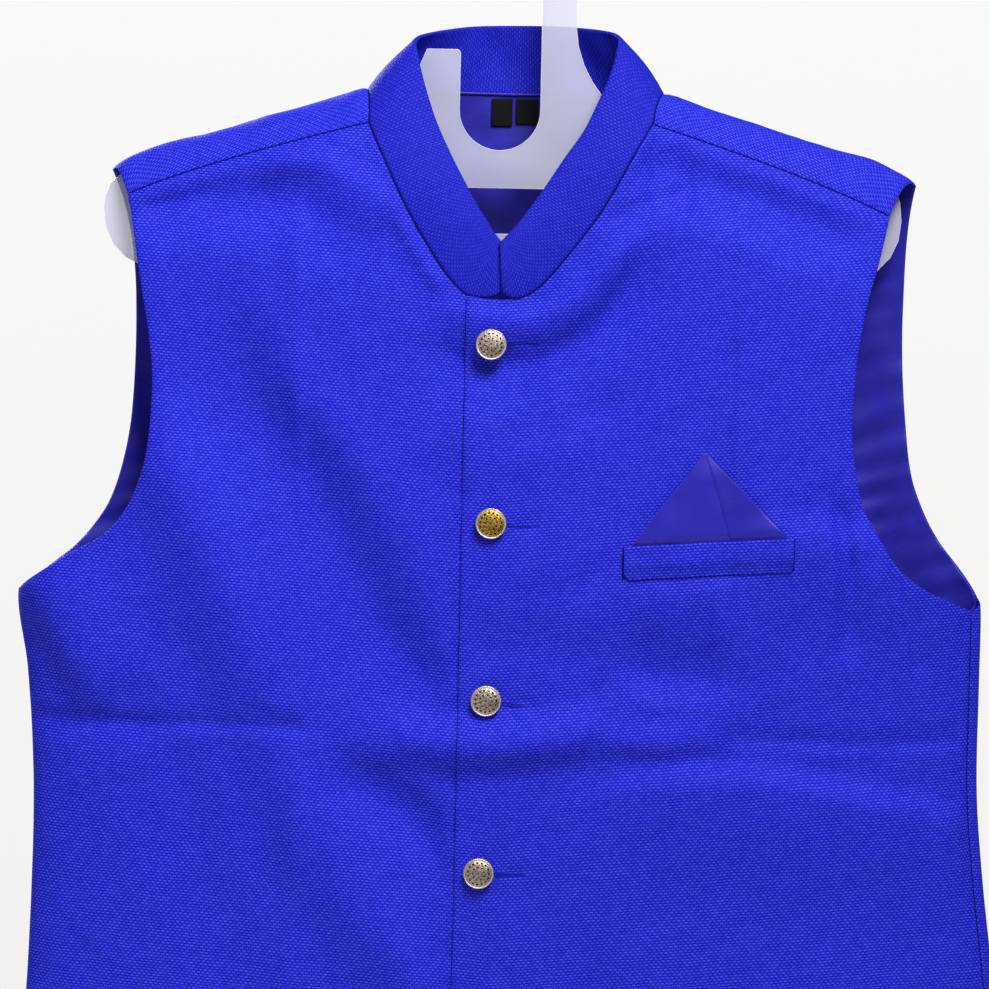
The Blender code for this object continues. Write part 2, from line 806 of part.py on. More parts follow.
def surface_under(cloth):
    """A function that gives the point of a cloth piece's face at an x and drop, seen along +Y or -Y."""
    points = [vertex.co / MM for vertex in cloth.data.vertices]
    faces = [tuple(face.vertices) for face in cloth.data.polygons]
    tree = BVHTree.FromPolygons(points, faces)

    def point_at(x, drop, from_y, way):
        hit = tree.ray_cast(Vector((x, from_y, NECK_POINT_Z - drop)), Vector((0, way, 0)))
        return hit[0]

    return point_at


def patch(name, rows, thickness, material):
    """A thin wall facing the front, from rows of (point, clearance) pairs."""
    wall = Wall()
    numbers = []
    for row in rows:
        numbers.append([wall.add(*patch_faces(point, clearance, thickness)) for point, clearance in row])
    wall.join(numbers)
    return wall.build(name, material)


def patch_faces(point, clearance, thickness):
    return point - Vector((0, clearance + thickness, 0)), point - Vector((0, clearance, 0))


def make_welt(front, material):
    """The chest welt, standing off at its top edge for the square tucked behind it."""
    point_at = surface_under(front)
    columns = 10
    stand_off = 2 * (SQUARE_WALL + WELT_SEAT) + WELT_SEAT
    rows = []
    for down in WELT_STEPS:
        clearance = mix(stand_off, WELT_SEAT, ease((down - WELT_STEPS[1]) / (WELT_HEIGHT - WELT_STEPS[1])))
        places = [mix(WELT_LEFT, WELT_RIGHT, column / columns) for column in range(columns + 1)]
        rows.append([(point_at(x, welt_top(x) + down, -RAY_START, 1.0), clearance) for x in places])
    return patch("pocket_welt", rows, WELT_WALL, material)


def welt_top(x):
    return WELT_TOP - WELT_RISE * (x - WELT_LEFT) / (WELT_RIGHT - WELT_LEFT)


def make_square_layer(front, name, foot, layer, material):
    """One visible layer of the folded pocket square, a triangle from its apex down into the welt."""
    point_at = surface_under(front)
    columns, down = 6, 6
    clearance = WELT_SEAT + layer * (SQUARE_WALL + WELT_SEAT)
    rows = []
    for step in range(down + 1):
        part = mix(0.03, 1.0, step / down)
        row = []
        for column in range(columns + 1):
            foot_x = mix(foot[0], foot[1], column / columns)
            x = mix(SQUARE_APEX.x, foot_x, part)
            drop = mix(SQUARE_APEX.drop, welt_top(foot_x) + SQUARE_TUCK, part)
            row.append((point_at(x, drop, -RAY_START, 1.0), clearance))
        rows.append(row)
    return patch(name, rows, SQUARE_WALL, material)


def make_label(lining, name, left, right, bottom, material):
    """A bare woven tab hanging from the back neck seam, just clear of the lining."""
    point_at = surface_under(lining)
    columns, down = 2, 3
    rows = []
    for step in range(down + 1):
        drop = mix(0.0, bottom, step / down)
        row = [mix(left, right, column / columns) for column in range(columns + 1)]
        rows.append([(point_at(x, drop, 0.0, 1.0), LABEL_SEAT) for x in row])
    return patch(name, rows, LABEL_WALL, material)


def button_mesh(material):
    """A turned dome with a short shank, its axis on +Z and its back at z = 0."""
    profile = [(0.0, BUTTON_DOME)]
    for step in range(1, 5):
        angle = math.radians(90 - step * 18)
        dome = BUTTON_EDGE + (BUTTON_DOME - BUTTON_EDGE) * math.sin(angle)
        profile.append((BUTTON_RADIUS * math.cos(angle), dome))
    profile += [(BUTTON_RADIUS, BUTTON_EDGE), (BUTTON_RADIUS, 0.4), (BUTTON_RADIUS - 0.5, 0.0)]
    profile += [(BUTTON_SHANK_RADIUS, 0.0), (BUTTON_SHANK_RADIUS, -BUTTON_SHANK), (0.0, -BUTTON_SHANK)]
    work = bmesh.new()
    points = [work.verts.new((radius * MM, 0, height * MM)) for radius, height in profile]
    chain = [work.edges.new(pair) for pair in zip(points, points[1:])]
    bmesh.ops.spin(
        work,
        geom=points + chain,
        axis=(0, 0, 1),
        cent=(0, 0, 0),
        steps=BUTTON_SIDES,
        angle=math.tau,
        use_merge=True,
    )
    bmesh.ops.remove_doubles(work, verts=work.verts, dist=1e-6)
    bmesh.ops.recalc_face_normals(work, faces=work.faces)
    mesh = bpy.data.meshes.new("button")
    work.to_mesh(mesh)
    work.free()
    mesh.shade_smooth()
    mesh.set_sharp_from_angle(angle=math.radians(40))
    mesh.materials.append(material)
    return mesh


def make_buttons(material):
    """Five buttons down the centre front, each square to the cloth under it."""
    mesh = button_mesh(material)
    for number, spot in enumerate(BUTTONS, start=1):
        turn = turn_at(spot.x, spot.drop)
        normal = outward(turn, spot.drop)
        seat = skin(turn, spot.drop) + normal * (OVERLAP_LIFT + WELT_SEAT + BUTTON_SHANK)
        button = bpy.data.objects.new(f"button_{number}", mesh)
        button.rotation_euler = normal.to_track_quat("Z", "Y").to_euler()
        button.location = seat * MM
        bpy.context.scene.collection.objects.link(button)


def arc(centre_x, centre_z, radius, start, end, steps):
    """Points on an arc, its angles in degrees anticlockwise from +X."""
    angles = [math.radians(mix(start, end, step / steps)) for step in range(steps + 1)]
    return [(centre_x + radius * math.cos(angle), centre_z + radius * math.sin(angle)) for angle in angles]


def hanger_edge(x):
    """Height of the hanger's top edge under the cloth at an x."""
    return NECK_POINT_Z - max(shoulder_drop(x) + HANGER_SEAT, HANGER_SADDLE)


def hook_outline():
    """The open hook down to the cut across its stem, in x and z, anticlockwise from the hook's tip."""
    tip = (HOOK_INNER + HOOK_OUTER) / 2
    half_arm = (HOOK_OUTER - HOOK_INNER) / 2
    points = arc(-tip, HOOK_TIP_Z - half_arm, half_arm, 180, 360, 8)
    points += arc(0, -HOOK_INNER, HOOK_INNER, 180, 0, 18)
    points += [(HOOK_INNER, STEM_CUT_Z), (HOOK_OUTER, STEM_CUT_Z)]
    return points + arc(0, -HOOK_INNER, HOOK_OUTER, 0, 180, 24)


def arms_outline():
    """The rest of the hanger below that cut, in x and z, anticlockwise from the stem's inner side."""
    throat_z = NECK_POINT_Z - THROAT_DROP
    prong_top = NECK_POINT_Z - PRONG_TOP_DROP
    foot = NECK_POINT_Z - HANGER_FOOT
    points = [(HOOK_INNER, STEM_CUT_Z)] + arc(0, throat_z, THROAT_RADIUS, 0, -180, 18)
    points += [(-THROAT_RADIUS, prong_top - 2.0), (-25.2, prong_top), (-43.2, prong_top)]
    points += [(PRONG_LEFT, prong_top - 9.5)]
    points += [(PRONG_LEFT, NECK_POINT_Z - mix(-14, 0, step / 2)) for step in range(2)]
    points += [(-51.0, NECK_POINT_Z - 0.5), (-57.0, NECK_POINT_Z - HANGER_SADDLE + 1)]
    left_top = (-66, -78, -90, -102, -118, -136, -156, -176, -194, -204, -211)
    points += [(x, hanger_edge(x)) for x in left_top]
    points += [(-219.0, -157.6), (-226.0, -164.0), (-229.0, -171.0), (-229.9, -178.0)]
    points += [(-228.6, -189.0), (-224.0, -199.0), (-216.5, -207.0), (-207.0, foot)]
    points += [(mix(-150, 150, step / 4), foot) for step in range(5)]
    points += [(212.5, foot), (222.0, -206.0), (229.5, -198.0), (234.0, -188.0)]
    points += [(235.4, -177.0), (234.4, -166.0), (231.0, -156.0)]
    right_top = (224, 214, 200, 184, 166, 146, 126, 110, 96, 84, 70)
    points += [(x, hanger_edge(x)) for x in right_top]
    points += [(60.5, -108.6), (53.5, -99.0), (48.6, -89.5), (45.2, -79.0), (43.9, -68.0)]
    return points + [(HOOK_OUTER, STEM_CUT_Z)]


def window_outline():
    """The opening above the hanger's lower bar, a rounded rectangle."""
    left, right, top, bottom = WINDOW
    radius = WINDOW_RADIUS
    points = []
    for x, drop, start in ((right, top, 0), (left, top, 90), (left, bottom, 180), (right, bottom, 270)):
        centre_x = x - math.copysign(radius, x)
        centre_z = NECK_POINT_Z - drop + (radius if drop == bottom else -radius)
        points += arc(centre_x, centre_z, radius, start, start + 90, 4)
    return points


def make_sheet(name, outlines, material):
    """A die-cut piece of the hanger's sheet: its outlines filled and given the sheet's thickness."""
    work = bmesh.new()
    for outline in outlines:
        corners = [work.verts.new((x * MM, -SHEET / 2 * MM, z * MM)) for x, z in outline]
        for start, end in zip(corners, corners[1:] + corners[:1]):
            work.edges.new((start, end))
    bmesh.ops.triangle_fill(work, use_beauty=True, edges=work.edges[:], normal=(0, -1, 0))
    extruded = bmesh.ops.extrude_face_region(work, geom=work.faces[:])
    moved = [item for item in extruded["geom"] if isinstance(item, bmesh.types.BMVert)]
    bmesh.ops.translate(work, verts=moved, vec=(0, SHEET * MM, 0))
    bmesh.ops.recalc_face_normals(work, faces=work.faces)
    mesh = bpy.data.meshes.new(name)
    work.to_mesh(mesh)
    work.free()
    mesh.materials.append(material)
    piece = bpy.data.objects.new(name, mesh)
    bpy.context.scene.collection.objects.link(piece)
    return piece


def make_hanger(material):
    """The hanger in two solids that meet at the cut across its stem, so that the hook is one of its own."""
    make_sheet("hanger", (arms_outline(), window_outline()), material)
    make_sheet("hanger_hook", (hook_outline(),), material)


def main():
    for item in list(bpy.data.objects):
        bpy.data.objects.remove(item)
    cloth = surface_material("royal_blue_suiting", ROYAL_BLUE, 0.75)
    satin = surface_material("lining_satin", LINING_BLUE, 0.4)
    black = surface_material("label_black", LABEL_BLACK, 0.8)
    brass = surface_material("antique_brass", BRASS, 0.42, metallic=1.0)
    plastic = surface_material("frosted_plastic", FROSTED, 0.4)
    make_front("front_right", cloth)
    front_left = make_front("front_left", cloth)
    make_back(cloth)
    lining = make_lining(satin)
    make_collar(cloth)
    make_welt(front_left, cloth)
    make_square_layer(front_left, "pocket_square_under", SQUARE_UNDER, 0, satin)
    make_square_layer(front_left, "pocket_square_over", SQUARE_OVER, 1, satin)
    for name, (left, right, bottom) in LABELS.items():
        make_label(lining, name, left, right, bottom, black)
    make_buttons(brass)
    make_hanger(plastic)


if __name__ == "__main__":
    main()
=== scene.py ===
"""A sleeveless nehru jacket on its hanger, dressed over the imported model.

Lengths are in millimetres until a mesh is made, which takes metres. The origin is the inside top of the
hanger's hook, +Z is up, -Y is the jacket's front and +X the wearer's left. A place on the jacket is a turn
round the body (0 centre front, 1 the left side fold, 2 centre back, -1 the right side fold) and a drop, the
distance below the neck points.
"""

import logging
import math
from dataclasses import dataclass, field
from enum import Enum
from typing import Sequence

import bmesh
import bpy
import numpy as np
from mathutils import Matrix, Vector
from mathutils.kdtree import KDTree


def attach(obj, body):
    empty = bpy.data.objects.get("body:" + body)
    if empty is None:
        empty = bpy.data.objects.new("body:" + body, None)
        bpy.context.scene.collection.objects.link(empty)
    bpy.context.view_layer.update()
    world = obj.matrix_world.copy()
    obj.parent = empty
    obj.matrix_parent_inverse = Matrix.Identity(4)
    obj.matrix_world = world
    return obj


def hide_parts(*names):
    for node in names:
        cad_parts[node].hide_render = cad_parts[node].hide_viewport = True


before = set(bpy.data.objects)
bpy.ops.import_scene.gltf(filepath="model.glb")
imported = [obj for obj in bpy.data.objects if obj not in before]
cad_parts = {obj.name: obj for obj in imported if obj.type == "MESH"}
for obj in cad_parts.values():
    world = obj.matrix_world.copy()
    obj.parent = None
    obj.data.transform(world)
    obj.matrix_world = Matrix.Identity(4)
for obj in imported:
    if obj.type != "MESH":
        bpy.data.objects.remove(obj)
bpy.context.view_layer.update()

log = logging.getLogger("nehru_jacket")
Array = np.ndarray
Pair = tuple[Array, Array]
Table = tuple[tuple[float, ...], ...]
Material, Mesh, Object = bpy.types.Material, bpy.types.Mesh, bpy.types.Object
Socket = bpy.types.NodeSocket
Point = tuple[float, float]
Place = tuple[float, float, float]
MM = 0.001
NECK_POINT_Z = -107.6  # the neck points hang this far below the rail
CENTRE_FRONT = 3.4
LEVEL = np.array([1.0, 1.0, 0.0])  # the level part of a step
TURN_STEP = 0.01
ROOT_STEP = 0.2
EDGE_CROWD = np.array([0.15, 0.45, 0.95, 1.6, 2.5])  # the first lines in from a rolled edge


class Press(Enum):
    """How a crease was made: rolled soft by the hang of the cloth, or pressed to a line."""

    SOFT = 1.0
    SHARP = 2.2


def mix(start: Array, end: Array, part: Array) -> Array:
    """Value part of the way from start to end."""
    return start + (end - start) * part


def ease(part: Array) -> Array:
    """Smooth step from 0 to 1."""
    part = np.clip(part, 0.0, 1.0)
    return part * part * (3 - 2 * part)


def smooth(table: Sequence[Sequence[float]], column: int, at: Array) -> Array:
    """Reads a column of a table on a smooth line through its rows, carried on straight past the ends.

    Args:
        table: Rows whose first column rises.
        column: The column to read.
        at: Places in the first column.

    Returns:
        The column's value at each place.
    """
    rows = np.array([tuple(row) for row in table], float)
    at = np.asarray(at, float)
    knots, values = rows[:, 0], rows[:, column]
    index = np.searchsorted(knots[1:-1], at, side="left")
    before, after = np.maximum(index - 1, 0), np.minimum(index + 2, len(knots) - 1)
    span = knots[index + 1] - knots[index]
    part = (at - knots[index]) / span
    start, end = values[index], values[index + 1]
    slope_start = (end - values[before]) / (knots[index + 1] - knots[before]) * span
    slope_end = (values[after] - start) / (knots[after] - knots[index]) * span
    square, cube = part * part, part**3
    rise = 2 * cube - 3 * square
    inside = start * (rise + 1) + slope_start * (cube - 2 * square + part) - end * rise + slope_end * (cube - square)
    return np.where((part < 0) | (part > 1), start + (end - start) * part, inside)


def smooth_columns(table: Sequence[Sequence[float]], columns: Sequence[int], at: Array) -> Array:
    """Several columns of a table at once, on the last axis."""
    return np.stack([smooth(table, column, at) for column in columns], axis=-1)


def stations(length: float, step: float, fine_start: bool = True, fine_end: bool = True) -> Array:
    """Places from 0 to a length for a grid's lines, a step apart, and crowded at an edge that is rolled."""
    start = EDGE_CROWD if fine_start else EDGE_CROWD[:0]
    end = EDGE_CROWD if fine_end else EDGE_CROWD[:0]
    low = start[-1] if fine_start else 0.0
    high = length - (end[-1] if fine_end else 0.0)
    middle = np.linspace(low, high, max(2, int(round((high - low) / step)) + 1))
    return np.unique(np.round(np.concatenate([[0.0], start, middle, length - end, [length]]), 4))


def shares(length: float, step: float) -> Array:
    """Places along a length as shares of it, crowded at both ends."""
    return stations(length, step) / length


def unit(vectors: Array) -> Array:
    """Vectors scaled to length one."""
    return vectors / np.maximum(np.linalg.norm(vectors, axis=-1, keepdims=True), 1e-9)


def run_of(points: Array, axis: int = 0) -> Array:
    """Distance travelled along one axis of a grid of points, from that axis's start."""
    steps = np.linalg.norm(np.diff(points, axis=axis), axis=-1)
    start = np.zeros_like(np.take(steps, [0], axis=axis))
    return np.concatenate([start, np.cumsum(steps, axis=axis)], axis=axis)


@dataclass(frozen=True)
class Crease:
    """A crease along a line of (x, drop) points: half-widths left and right of its run, and height out."""

    line: Table
    left: float
    right: float
    height: float
    press: Press = Press.SOFT

    def lift(self, x: Array, drop: Array) -> Array:
        """How far the crease lifts the cloth at places across and down the jacket, negative in a trough."""
        knots = [(index, *point) for index, point in enumerate(self.line)]
        at = np.linspace(0, len(knots) - 1, 4 * len(knots))
        run = smooth_columns(knots, (1, 2), at) if len(knots) > 2 else np.array(self.line, float)
        lengths = run_of(run)
        places = np.stack([x, drop], axis=-1)
        nearest, aside, along = np.full(x.shape, 1e9), np.zeros(x.shape), np.zeros(x.shape)
        last = len(run) - 2
        for index in range(last + 1):
            way = run[index + 1] - run[index]
            length = float(np.hypot(*way))
            way = way / length
            offset = places - run[index]
            ahead = offset @ way
            held = np.clip(ahead, -1e9 if index == 0 else 0.0, 1e9 if index == last else length)
            gap = offset - held[..., None] * way
            distance = np.hypot(gap[..., 0], gap[..., 1])
            side = np.sign(offset[..., 0] * way[1] - offset[..., 1] * way[0])
            closer = distance < nearest
            nearest = np.where(closer, distance, nearest)
            aside = np.where(closer, side * distance, aside)
            along = np.where(closer, lengths[index] + ahead, along)
        share = np.clip(nearest / np.where(aside < 0, self.right, self.left), 0.0, 1.0)
        sharp = self.press is Press.SHARP
        shape = (1 - share) ** Press.SHARP.value if sharp else 0.5 + 0.5 * np.cos(np.pi * share)
        end = lengths[-1]
        fade = ease(0.5 + along / end * 2.4) * ease(0.5 + (end - along) / end * 2.4)
        return self.height * shape * fade


def creased(rows: Sequence[tuple], x: Array, drop: Array) -> Array:
    """How far the creases of a table lift the cloth at places across and down it."""
    lift = np.zeros(x.shape)
    for row in rows:
        lift = lift + Crease(*row).lift(x, drop)
    return lift


@dataclass(frozen=True)
class Form:
    """The hollow form that every cloth piece is cut from."""

    neck_centre: float = 9.2
    neck_half: float = 87.0
    neck_arch: float = 90.0
    neck_blend: float = 1.4
    shoulder_roll: float = 115.0
    roll_power: float = 2.5
    levels: Table = (  # drop, right and left side folds, depth front and back
        (-100, -256, 276, 36, 30), (50, -260, 280, 37, 30), (110, -261, 281, 38, 30), (200, -266, 283, 38, 30),
        (295, -275, 286.5, 36, 29), (340, -268.5, 286.3, 33, 28), (400, -264, 286.3, 31, 27),
        (450, -263.5, 290.5, 30, 26), (520, -265.3, 298.8, 29, 26), (620, -270.5, 305, 27, 25),
        (727, -276, 309, 26, 25),
    )
    shoulder: Table = (  # distance from the neck's centre, drop of the fold line
        (0, -2), (86, -2), (100, 1.5), (123, 9), (148, 16.5), (178, 26), (203, 32), (217, 37.5), (229, 44), (235, 49),
        (252, 66),
    )

    def shoulder_drop(self, x: Array) -> Array:
        """Drop of the line that the shoulders fold on."""
        return smooth(self.shoulder, 1, np.abs(np.asarray(x, float) - self.neck_centre))

    def roundness(self, x: Array, drop: Array) -> Array:
        """Share of its full depth that the form has at a place."""
        reach = (x - self.neck_centre) / self.neck_half
        arch = self.neck_arch * np.maximum(0.0, 1 - reach * reach) ** self.neck_blend
        part = np.clip((drop - self.shoulder_drop(x) + arch) / self.shoulder_roll, 0.0, 1.0)
        return np.sqrt(np.maximum(1 - (1 - part) ** self.roll_power, 0.0))

    def sides(self, drop: Array) -> Pair:
        """x of the right and left side folds at a drop."""
        return smooth(self.levels, 1, drop), smooth(self.levels, 2, drop)

    def x_at(self, turn: Array, drop: Array) -> Array:
        """x of the form's point at a turn and drop."""
        right, left = self.sides(drop)
        return (left + right) / 2 + (left - right) / 2 * np.sin(np.asarray(turn) * np.pi / 2)

    def skin(self, turn: Array, drop: Array) -> Array:
        """Points of the form, with x, y and z on the last axis."""
        turn, drop = np.broadcast_arrays(np.asarray(turn, float), np.asarray(drop, float))
        sine, cosine = np.sin(turn * np.pi / 2), np.cos(turn * np.pi / 2)
        x = self.x_at(turn, drop)
        depth = np.where(cosine > 0, smooth(self.levels, 3, drop), smooth(self.levels, 4, drop))
        y = -cosine * depth * np.sqrt(1 + sine * sine) * self.roundness(x, drop)
        return np.stack([x, y, NECK_POINT_Z - drop], axis=-1)

    def turn_at(self, x: Array, drop: Array, behind: bool = False) -> Array:
        """Turn of the form's point at an x and drop, in front or behind."""
        right, left = self.sides(drop)
        share = (np.asarray(x, float) - (left + right) / 2) / ((left - right) / 2)
        turn = np.arcsin(np.clip(share, -1, 1)) * 2 / np.pi
        return 2 - turn if behind else turn

    def drop_below(self, turn: Array, root: Array) -> Array:
        """Drop that lies root squared below the shoulder line, along one turn."""
        drop = root * root
        for _ in range(4):
            drop = self.shoulder_drop(self.x_at(turn, drop)) + root * root
        return drop

    def below(self, turn: Array, root: Array) -> Array:
        """Points of the form root squared below the shoulder line."""
        return self.skin(turn, self.drop_below(turn, root))

    def face(self, turn: Array, drop: Array) -> Pair:
        """Points of the form and unit vectors out of it."""
        root = np.sqrt(np.maximum(drop - self.shoulder_drop(self.x_at(turn, drop)), 0.0))
        down = self.below(turn, root + ROOT_STEP) - self.below(turn, root)
        across = self.below(turn + TURN_STEP, root) - self.below(turn - TURN_STEP, root)
        return self.skin(turn, drop), unit(np.cross(down, across))


@dataclass(frozen=True)
class Pattern:
    """Edges of the jacket's pieces on the form, all as (drop, x) unless said otherwise."""

    hem: float = 727.0
    side_seam: float = 6.3
    shoulder_tip: float = 49.0
    seam_gap: float = 0.3
    placket: tuple[float, ...] = (-17.0, -7.0, 3.4, 12.0, 21.0)
    swing_from: float = 470.0
    swing: float = 7.0
    overlap_lift: float = 2.4
    lift_full: float = 35.0
    lift_ends: float = 80.0
    neck_front: tuple[float, ...] = (119.5, 121.0, 121.5, 121.0, 117.0)
    side_rows: tuple[float, ...] = (727, 690, 645, 595, 545, 495, 450, 408, 370, 338, 314, 297)
    front_rows: Table = (  # drop at the armhole, drop at the placket
        (293.5, 300), (288, 281), (279, 261), (266, 241), (250, 221), (231, 202), (206, 182), (176, 162), (148, 142),
    )
    corner_armhole: float = 125.0
    fan_armholes: tuple[float, ...] = (110.0, 99.0, 90.0, 82.0, 75.0)
    back_rows: Table = (  # drop at centre back, drop at the armholes
        (284, 288), (270, 276), (252, 260), (228, 240), (198, 218), (164, 192), (130, 162), (98, 136), (70, 112),
        (46, 92), (28, 77), (14, 65), (7, 58), (2, 53), (-1, 50), (-2, 49),
    )
    front_sag: float = 21.0
    back_sag: float = 8.0
    sag_ends: float = 640.0
    armholes: dict[str, Table] = field(
        default_factory=lambda: {
            "front_right": (
                (63.7, -215.0), (106, -207.0), (158, -198.3), (190, -197.3), (218, -200.0), (236, -206.0),
                (249, -213.0), (261, -224.0), (274, -246.0), (283, -260.0), (289, -269.0), (293.5, -274.8),
            ),
            "front_left": (
                (68, 227.0), (95, 221.0), (118, 214.8), (140, 210.7), (162, 208.2), (192, 207.0),
                (220, 210.2), (239, 215.4), (254, 223.5), (272, 234.8), (284, 251.0), (290, 265.0), (296, 280.0),
            ),
            "back_right": (
                (49, -225.8), (75, -218.5), (105, -213.5), (150, -211.7), (195, -213.3), (220, -217.5),
                (240, -224.0), (255, -233.0), (268, -244.0), (278, -256.0), (287, -267.0), (293.5, -274.8),
            ),
            "back_left": (
                (49, 244.2), (75, 241.0), (105, 239.8), (150, 239.6), (195, 243.0), (220, 247.0),
                (240, 254.5), (255, 262.6), (268, 272.6), (278, 280.0), (287, 285.0), (293.5, 286.5),
            ),
        }
    )
    necklines: dict[str, Table] = field(
        default_factory=lambda: {
            "front_right": (
                (119.5, -17), (108, -28.5), (92.7, -39), (75.7, -49.3), (55.7, -59.7), (33.5, -70), (19.5, -75.7)
            ),
            "front_left": ((117, 21), (111, 28), (96.8, 40), (76.4, 55.3), (56, 67.8), (35, 79), (17.5, 88.8)),
        }
    )

    @property
    def last_side(self) -> int:
        """Number of the row at the underarm."""
        return len(self.side_rows) - 1

    def row_sag(self, drop: Array) -> Array:
        """Share of the full sag of a row below the underarm."""
        return ease((self.sag_ends - np.asarray(drop)) / (self.sag_ends - self.side_rows[-1]))

    def lift_at(self, x: Array) -> Array:
        """How far out the left front is carried by the right front under it."""
        return self.overlap_lift * (1 - ease((np.asarray(x) - self.lift_full) / (self.lift_ends - self.lift_full)))

    def placket_x(self, station: Array, drop: Array) -> Array:
        """x of a line that runs down the placket."""
        return station - self.swing * ease((np.asarray(drop) - self.swing_from) / (self.hem - self.swing_from))

    def armhole_turn(self, name: str, drop: Array) -> Array:
        """Turn of a panel's armhole at a drop."""
        return FORM.turn_at(smooth(self.armholes[name], 1, drop), drop, behind=name.startswith("back"))

    def side_turn(self, left: bool, drop: Array) -> Array:
        """Turn of a side seam: the left one lies in front of the fold, the right one behind it."""
        low, high = FORM.sides(drop)
        if left:
            return FORM.turn_at(high - self.side_seam, drop)
        return FORM.turn_at(low + self.side_seam, drop, behind=True)


FORM = Form()
PATTERN = Pattern()


def add_node(tree: bpy.types.NodeTree, kind: str, *links: object, **settings: object) -> bpy.types.Node:
    """Adds a node with its settings and inputs.

    Args:
        tree: The tree that it goes in.
        kind: The node's class name.
        links: What each input takes, in order: a socket, a value, or None to leave it.
        settings: Its settings. A key that ends in _in names an input, with _ for a space.

    Returns:
        The node.
    """
    node = tree.nodes.new(kind)
    named = {key[:-3].replace("_", " "): value for key, value in settings.items() if key.endswith("_in")}
    for key, value in settings.items():
        if not key.endswith("_in"):
            setattr(node, key, value)
    taken = [(node.inputs[index], value) for index, value in enumerate(links)]
    taken += [(next(s for s in node.inputs if s.name == name and s.enabled), value) for name, value in named.items()]
    for socket, value in taken:
        fill(tree, socket, value)
    return node


def fill(tree: bpy.types.NodeTree, socket: Socket, value: object) -> None:
    """Links a socket to an input, or gives the input a value."""
    if isinstance(value, Socket):
        tree.links.new(value, socket)
    elif value is not None:
        socket.default_value = value


def linear(colour: str) -> tuple[float, float, float, float]:
    """Linear RGBA of an sRGB hex colour."""
    parts = [int(colour[index : index + 2], 16) / 255 for index in (1, 3, 5)]
    return (*(p / 12.92 if p <= 0.04045 else ((p + 0.055) / 1.055) ** 2.4 for p in parts), 1.0)


@dataclass
class Nodes:
    """The nodes of a material or a world, with short calls for the kinds in use here."""

    owner: bpy.types.ID

    def __post_init__(self) -> None:
        """Turns the owner's nodes on."""
        self.owner.use_nodes = True
        self.tree = self.owner.node_tree

    def cloth(self) -> Socket:
        """The place on the piece's own map, in metres."""
        return add_node(self.tree, "ShaderNodeUVMap", uv_map="cloth").outputs[0]

    def place(self) -> Socket:
        """The place on the object."""
        return add_node(self.tree, "ShaderNodeTexCoord").outputs["Object"]

    def axes(self, vector: Socket) -> Sequence[Socket]:
        """A vector's three parts."""
        return add_node(self.tree, "ShaderNodeSeparateXYZ", vector).outputs

    def join(self, x: object, y: object) -> Socket:
        """A vector from its x and y."""
        return add_node(self.tree, "ShaderNodeCombineXYZ", x, y).outputs[0]

    def math(self, operation: str, *values: object) -> Socket:
        """The result of arithmetic."""
        return add_node(self.tree, "ShaderNodeMath", *values, operation=operation).outputs[0]

    def vector(self, operation: str, *values: object) -> Socket:
        """The result of vector arithmetic."""
        node = add_node(self.tree, "ShaderNodeVectorMath", *values, operation=operation)
        return node.outputs["Value" if operation == "LENGTH" else "Vector"]

    def ranged(self, value: Socket, *limits: float, **settings: object) -> Socket:
        """A value mapped from one range to another."""
        return add_node(self.tree, "ShaderNodeMapRange", value, *limits, **settings).outputs[0]

    def blend(self, part: Socket, start: object, end: object) -> Socket:
        """A colour part of the way from one to another, each a socket or a hex colour."""
        start, end = (linear(tone) if isinstance(tone, str) else tone for tone in (start, end))
        return add_node(self.tree, "ShaderNodeMix", part, data_type="RGBA", A_in=start, B_in=end).outputs[2]

    def noise(self, place: Socket, scale: float, detail: float, output: object = 0) -> Socket:
        """Soft noise."""
        return add_node(self.tree, "ShaderNodeTexNoise", place, Scale_in=scale, Detail_in=detail).outputs[output]

    def streaks(self, place: Socket, stretch: tuple[float, float, float], detail: float) -> Socket:
        """Noise drawn out into streaks."""
        return self.noise(add_node(self.tree, "ShaderNodeMapping", place, Scale_in=stretch).outputs[0], 1.0, detail)

    def ribs(self, place: Socket, scale: float, distortion: float, way: str) -> Socket:
        """Fine parallel ribs."""
        made = {"wave_type": "BANDS", "bands_direction": way}
        node = add_node(self.tree, "ShaderNodeTexWave", place, Scale_in=scale, Distortion_in=distortion, **made)
        return node.outputs["Fac"]

    def bump(self, height: Socket, strength: float, distance: float) -> Socket:
        """A normal from a height."""
        node = add_node(self.tree, "ShaderNodeBump", Strength_in=strength, Distance_in=distance, Height_in=height)
        return node.outputs[0]

    def dress(self, **inputs: object) -> bpy.types.ID:
        """Gives the Principled shader its inputs, each named with _ for a space, and returns the owner."""
        shader = self.tree.nodes["Principled BSDF"]
        for key, value in inputs.items():
            fill(self.tree, shader.inputs[key.replace("_", " ")], value)
        return self.owner


@dataclass(frozen=True)
class Finish:
    """A finish, named for its real material."""

    name: str

    def nodes(self) -> Nodes:
        """The nodes of a new material with the finish's name."""
        return Nodes(bpy.data.materials.new(self.name))


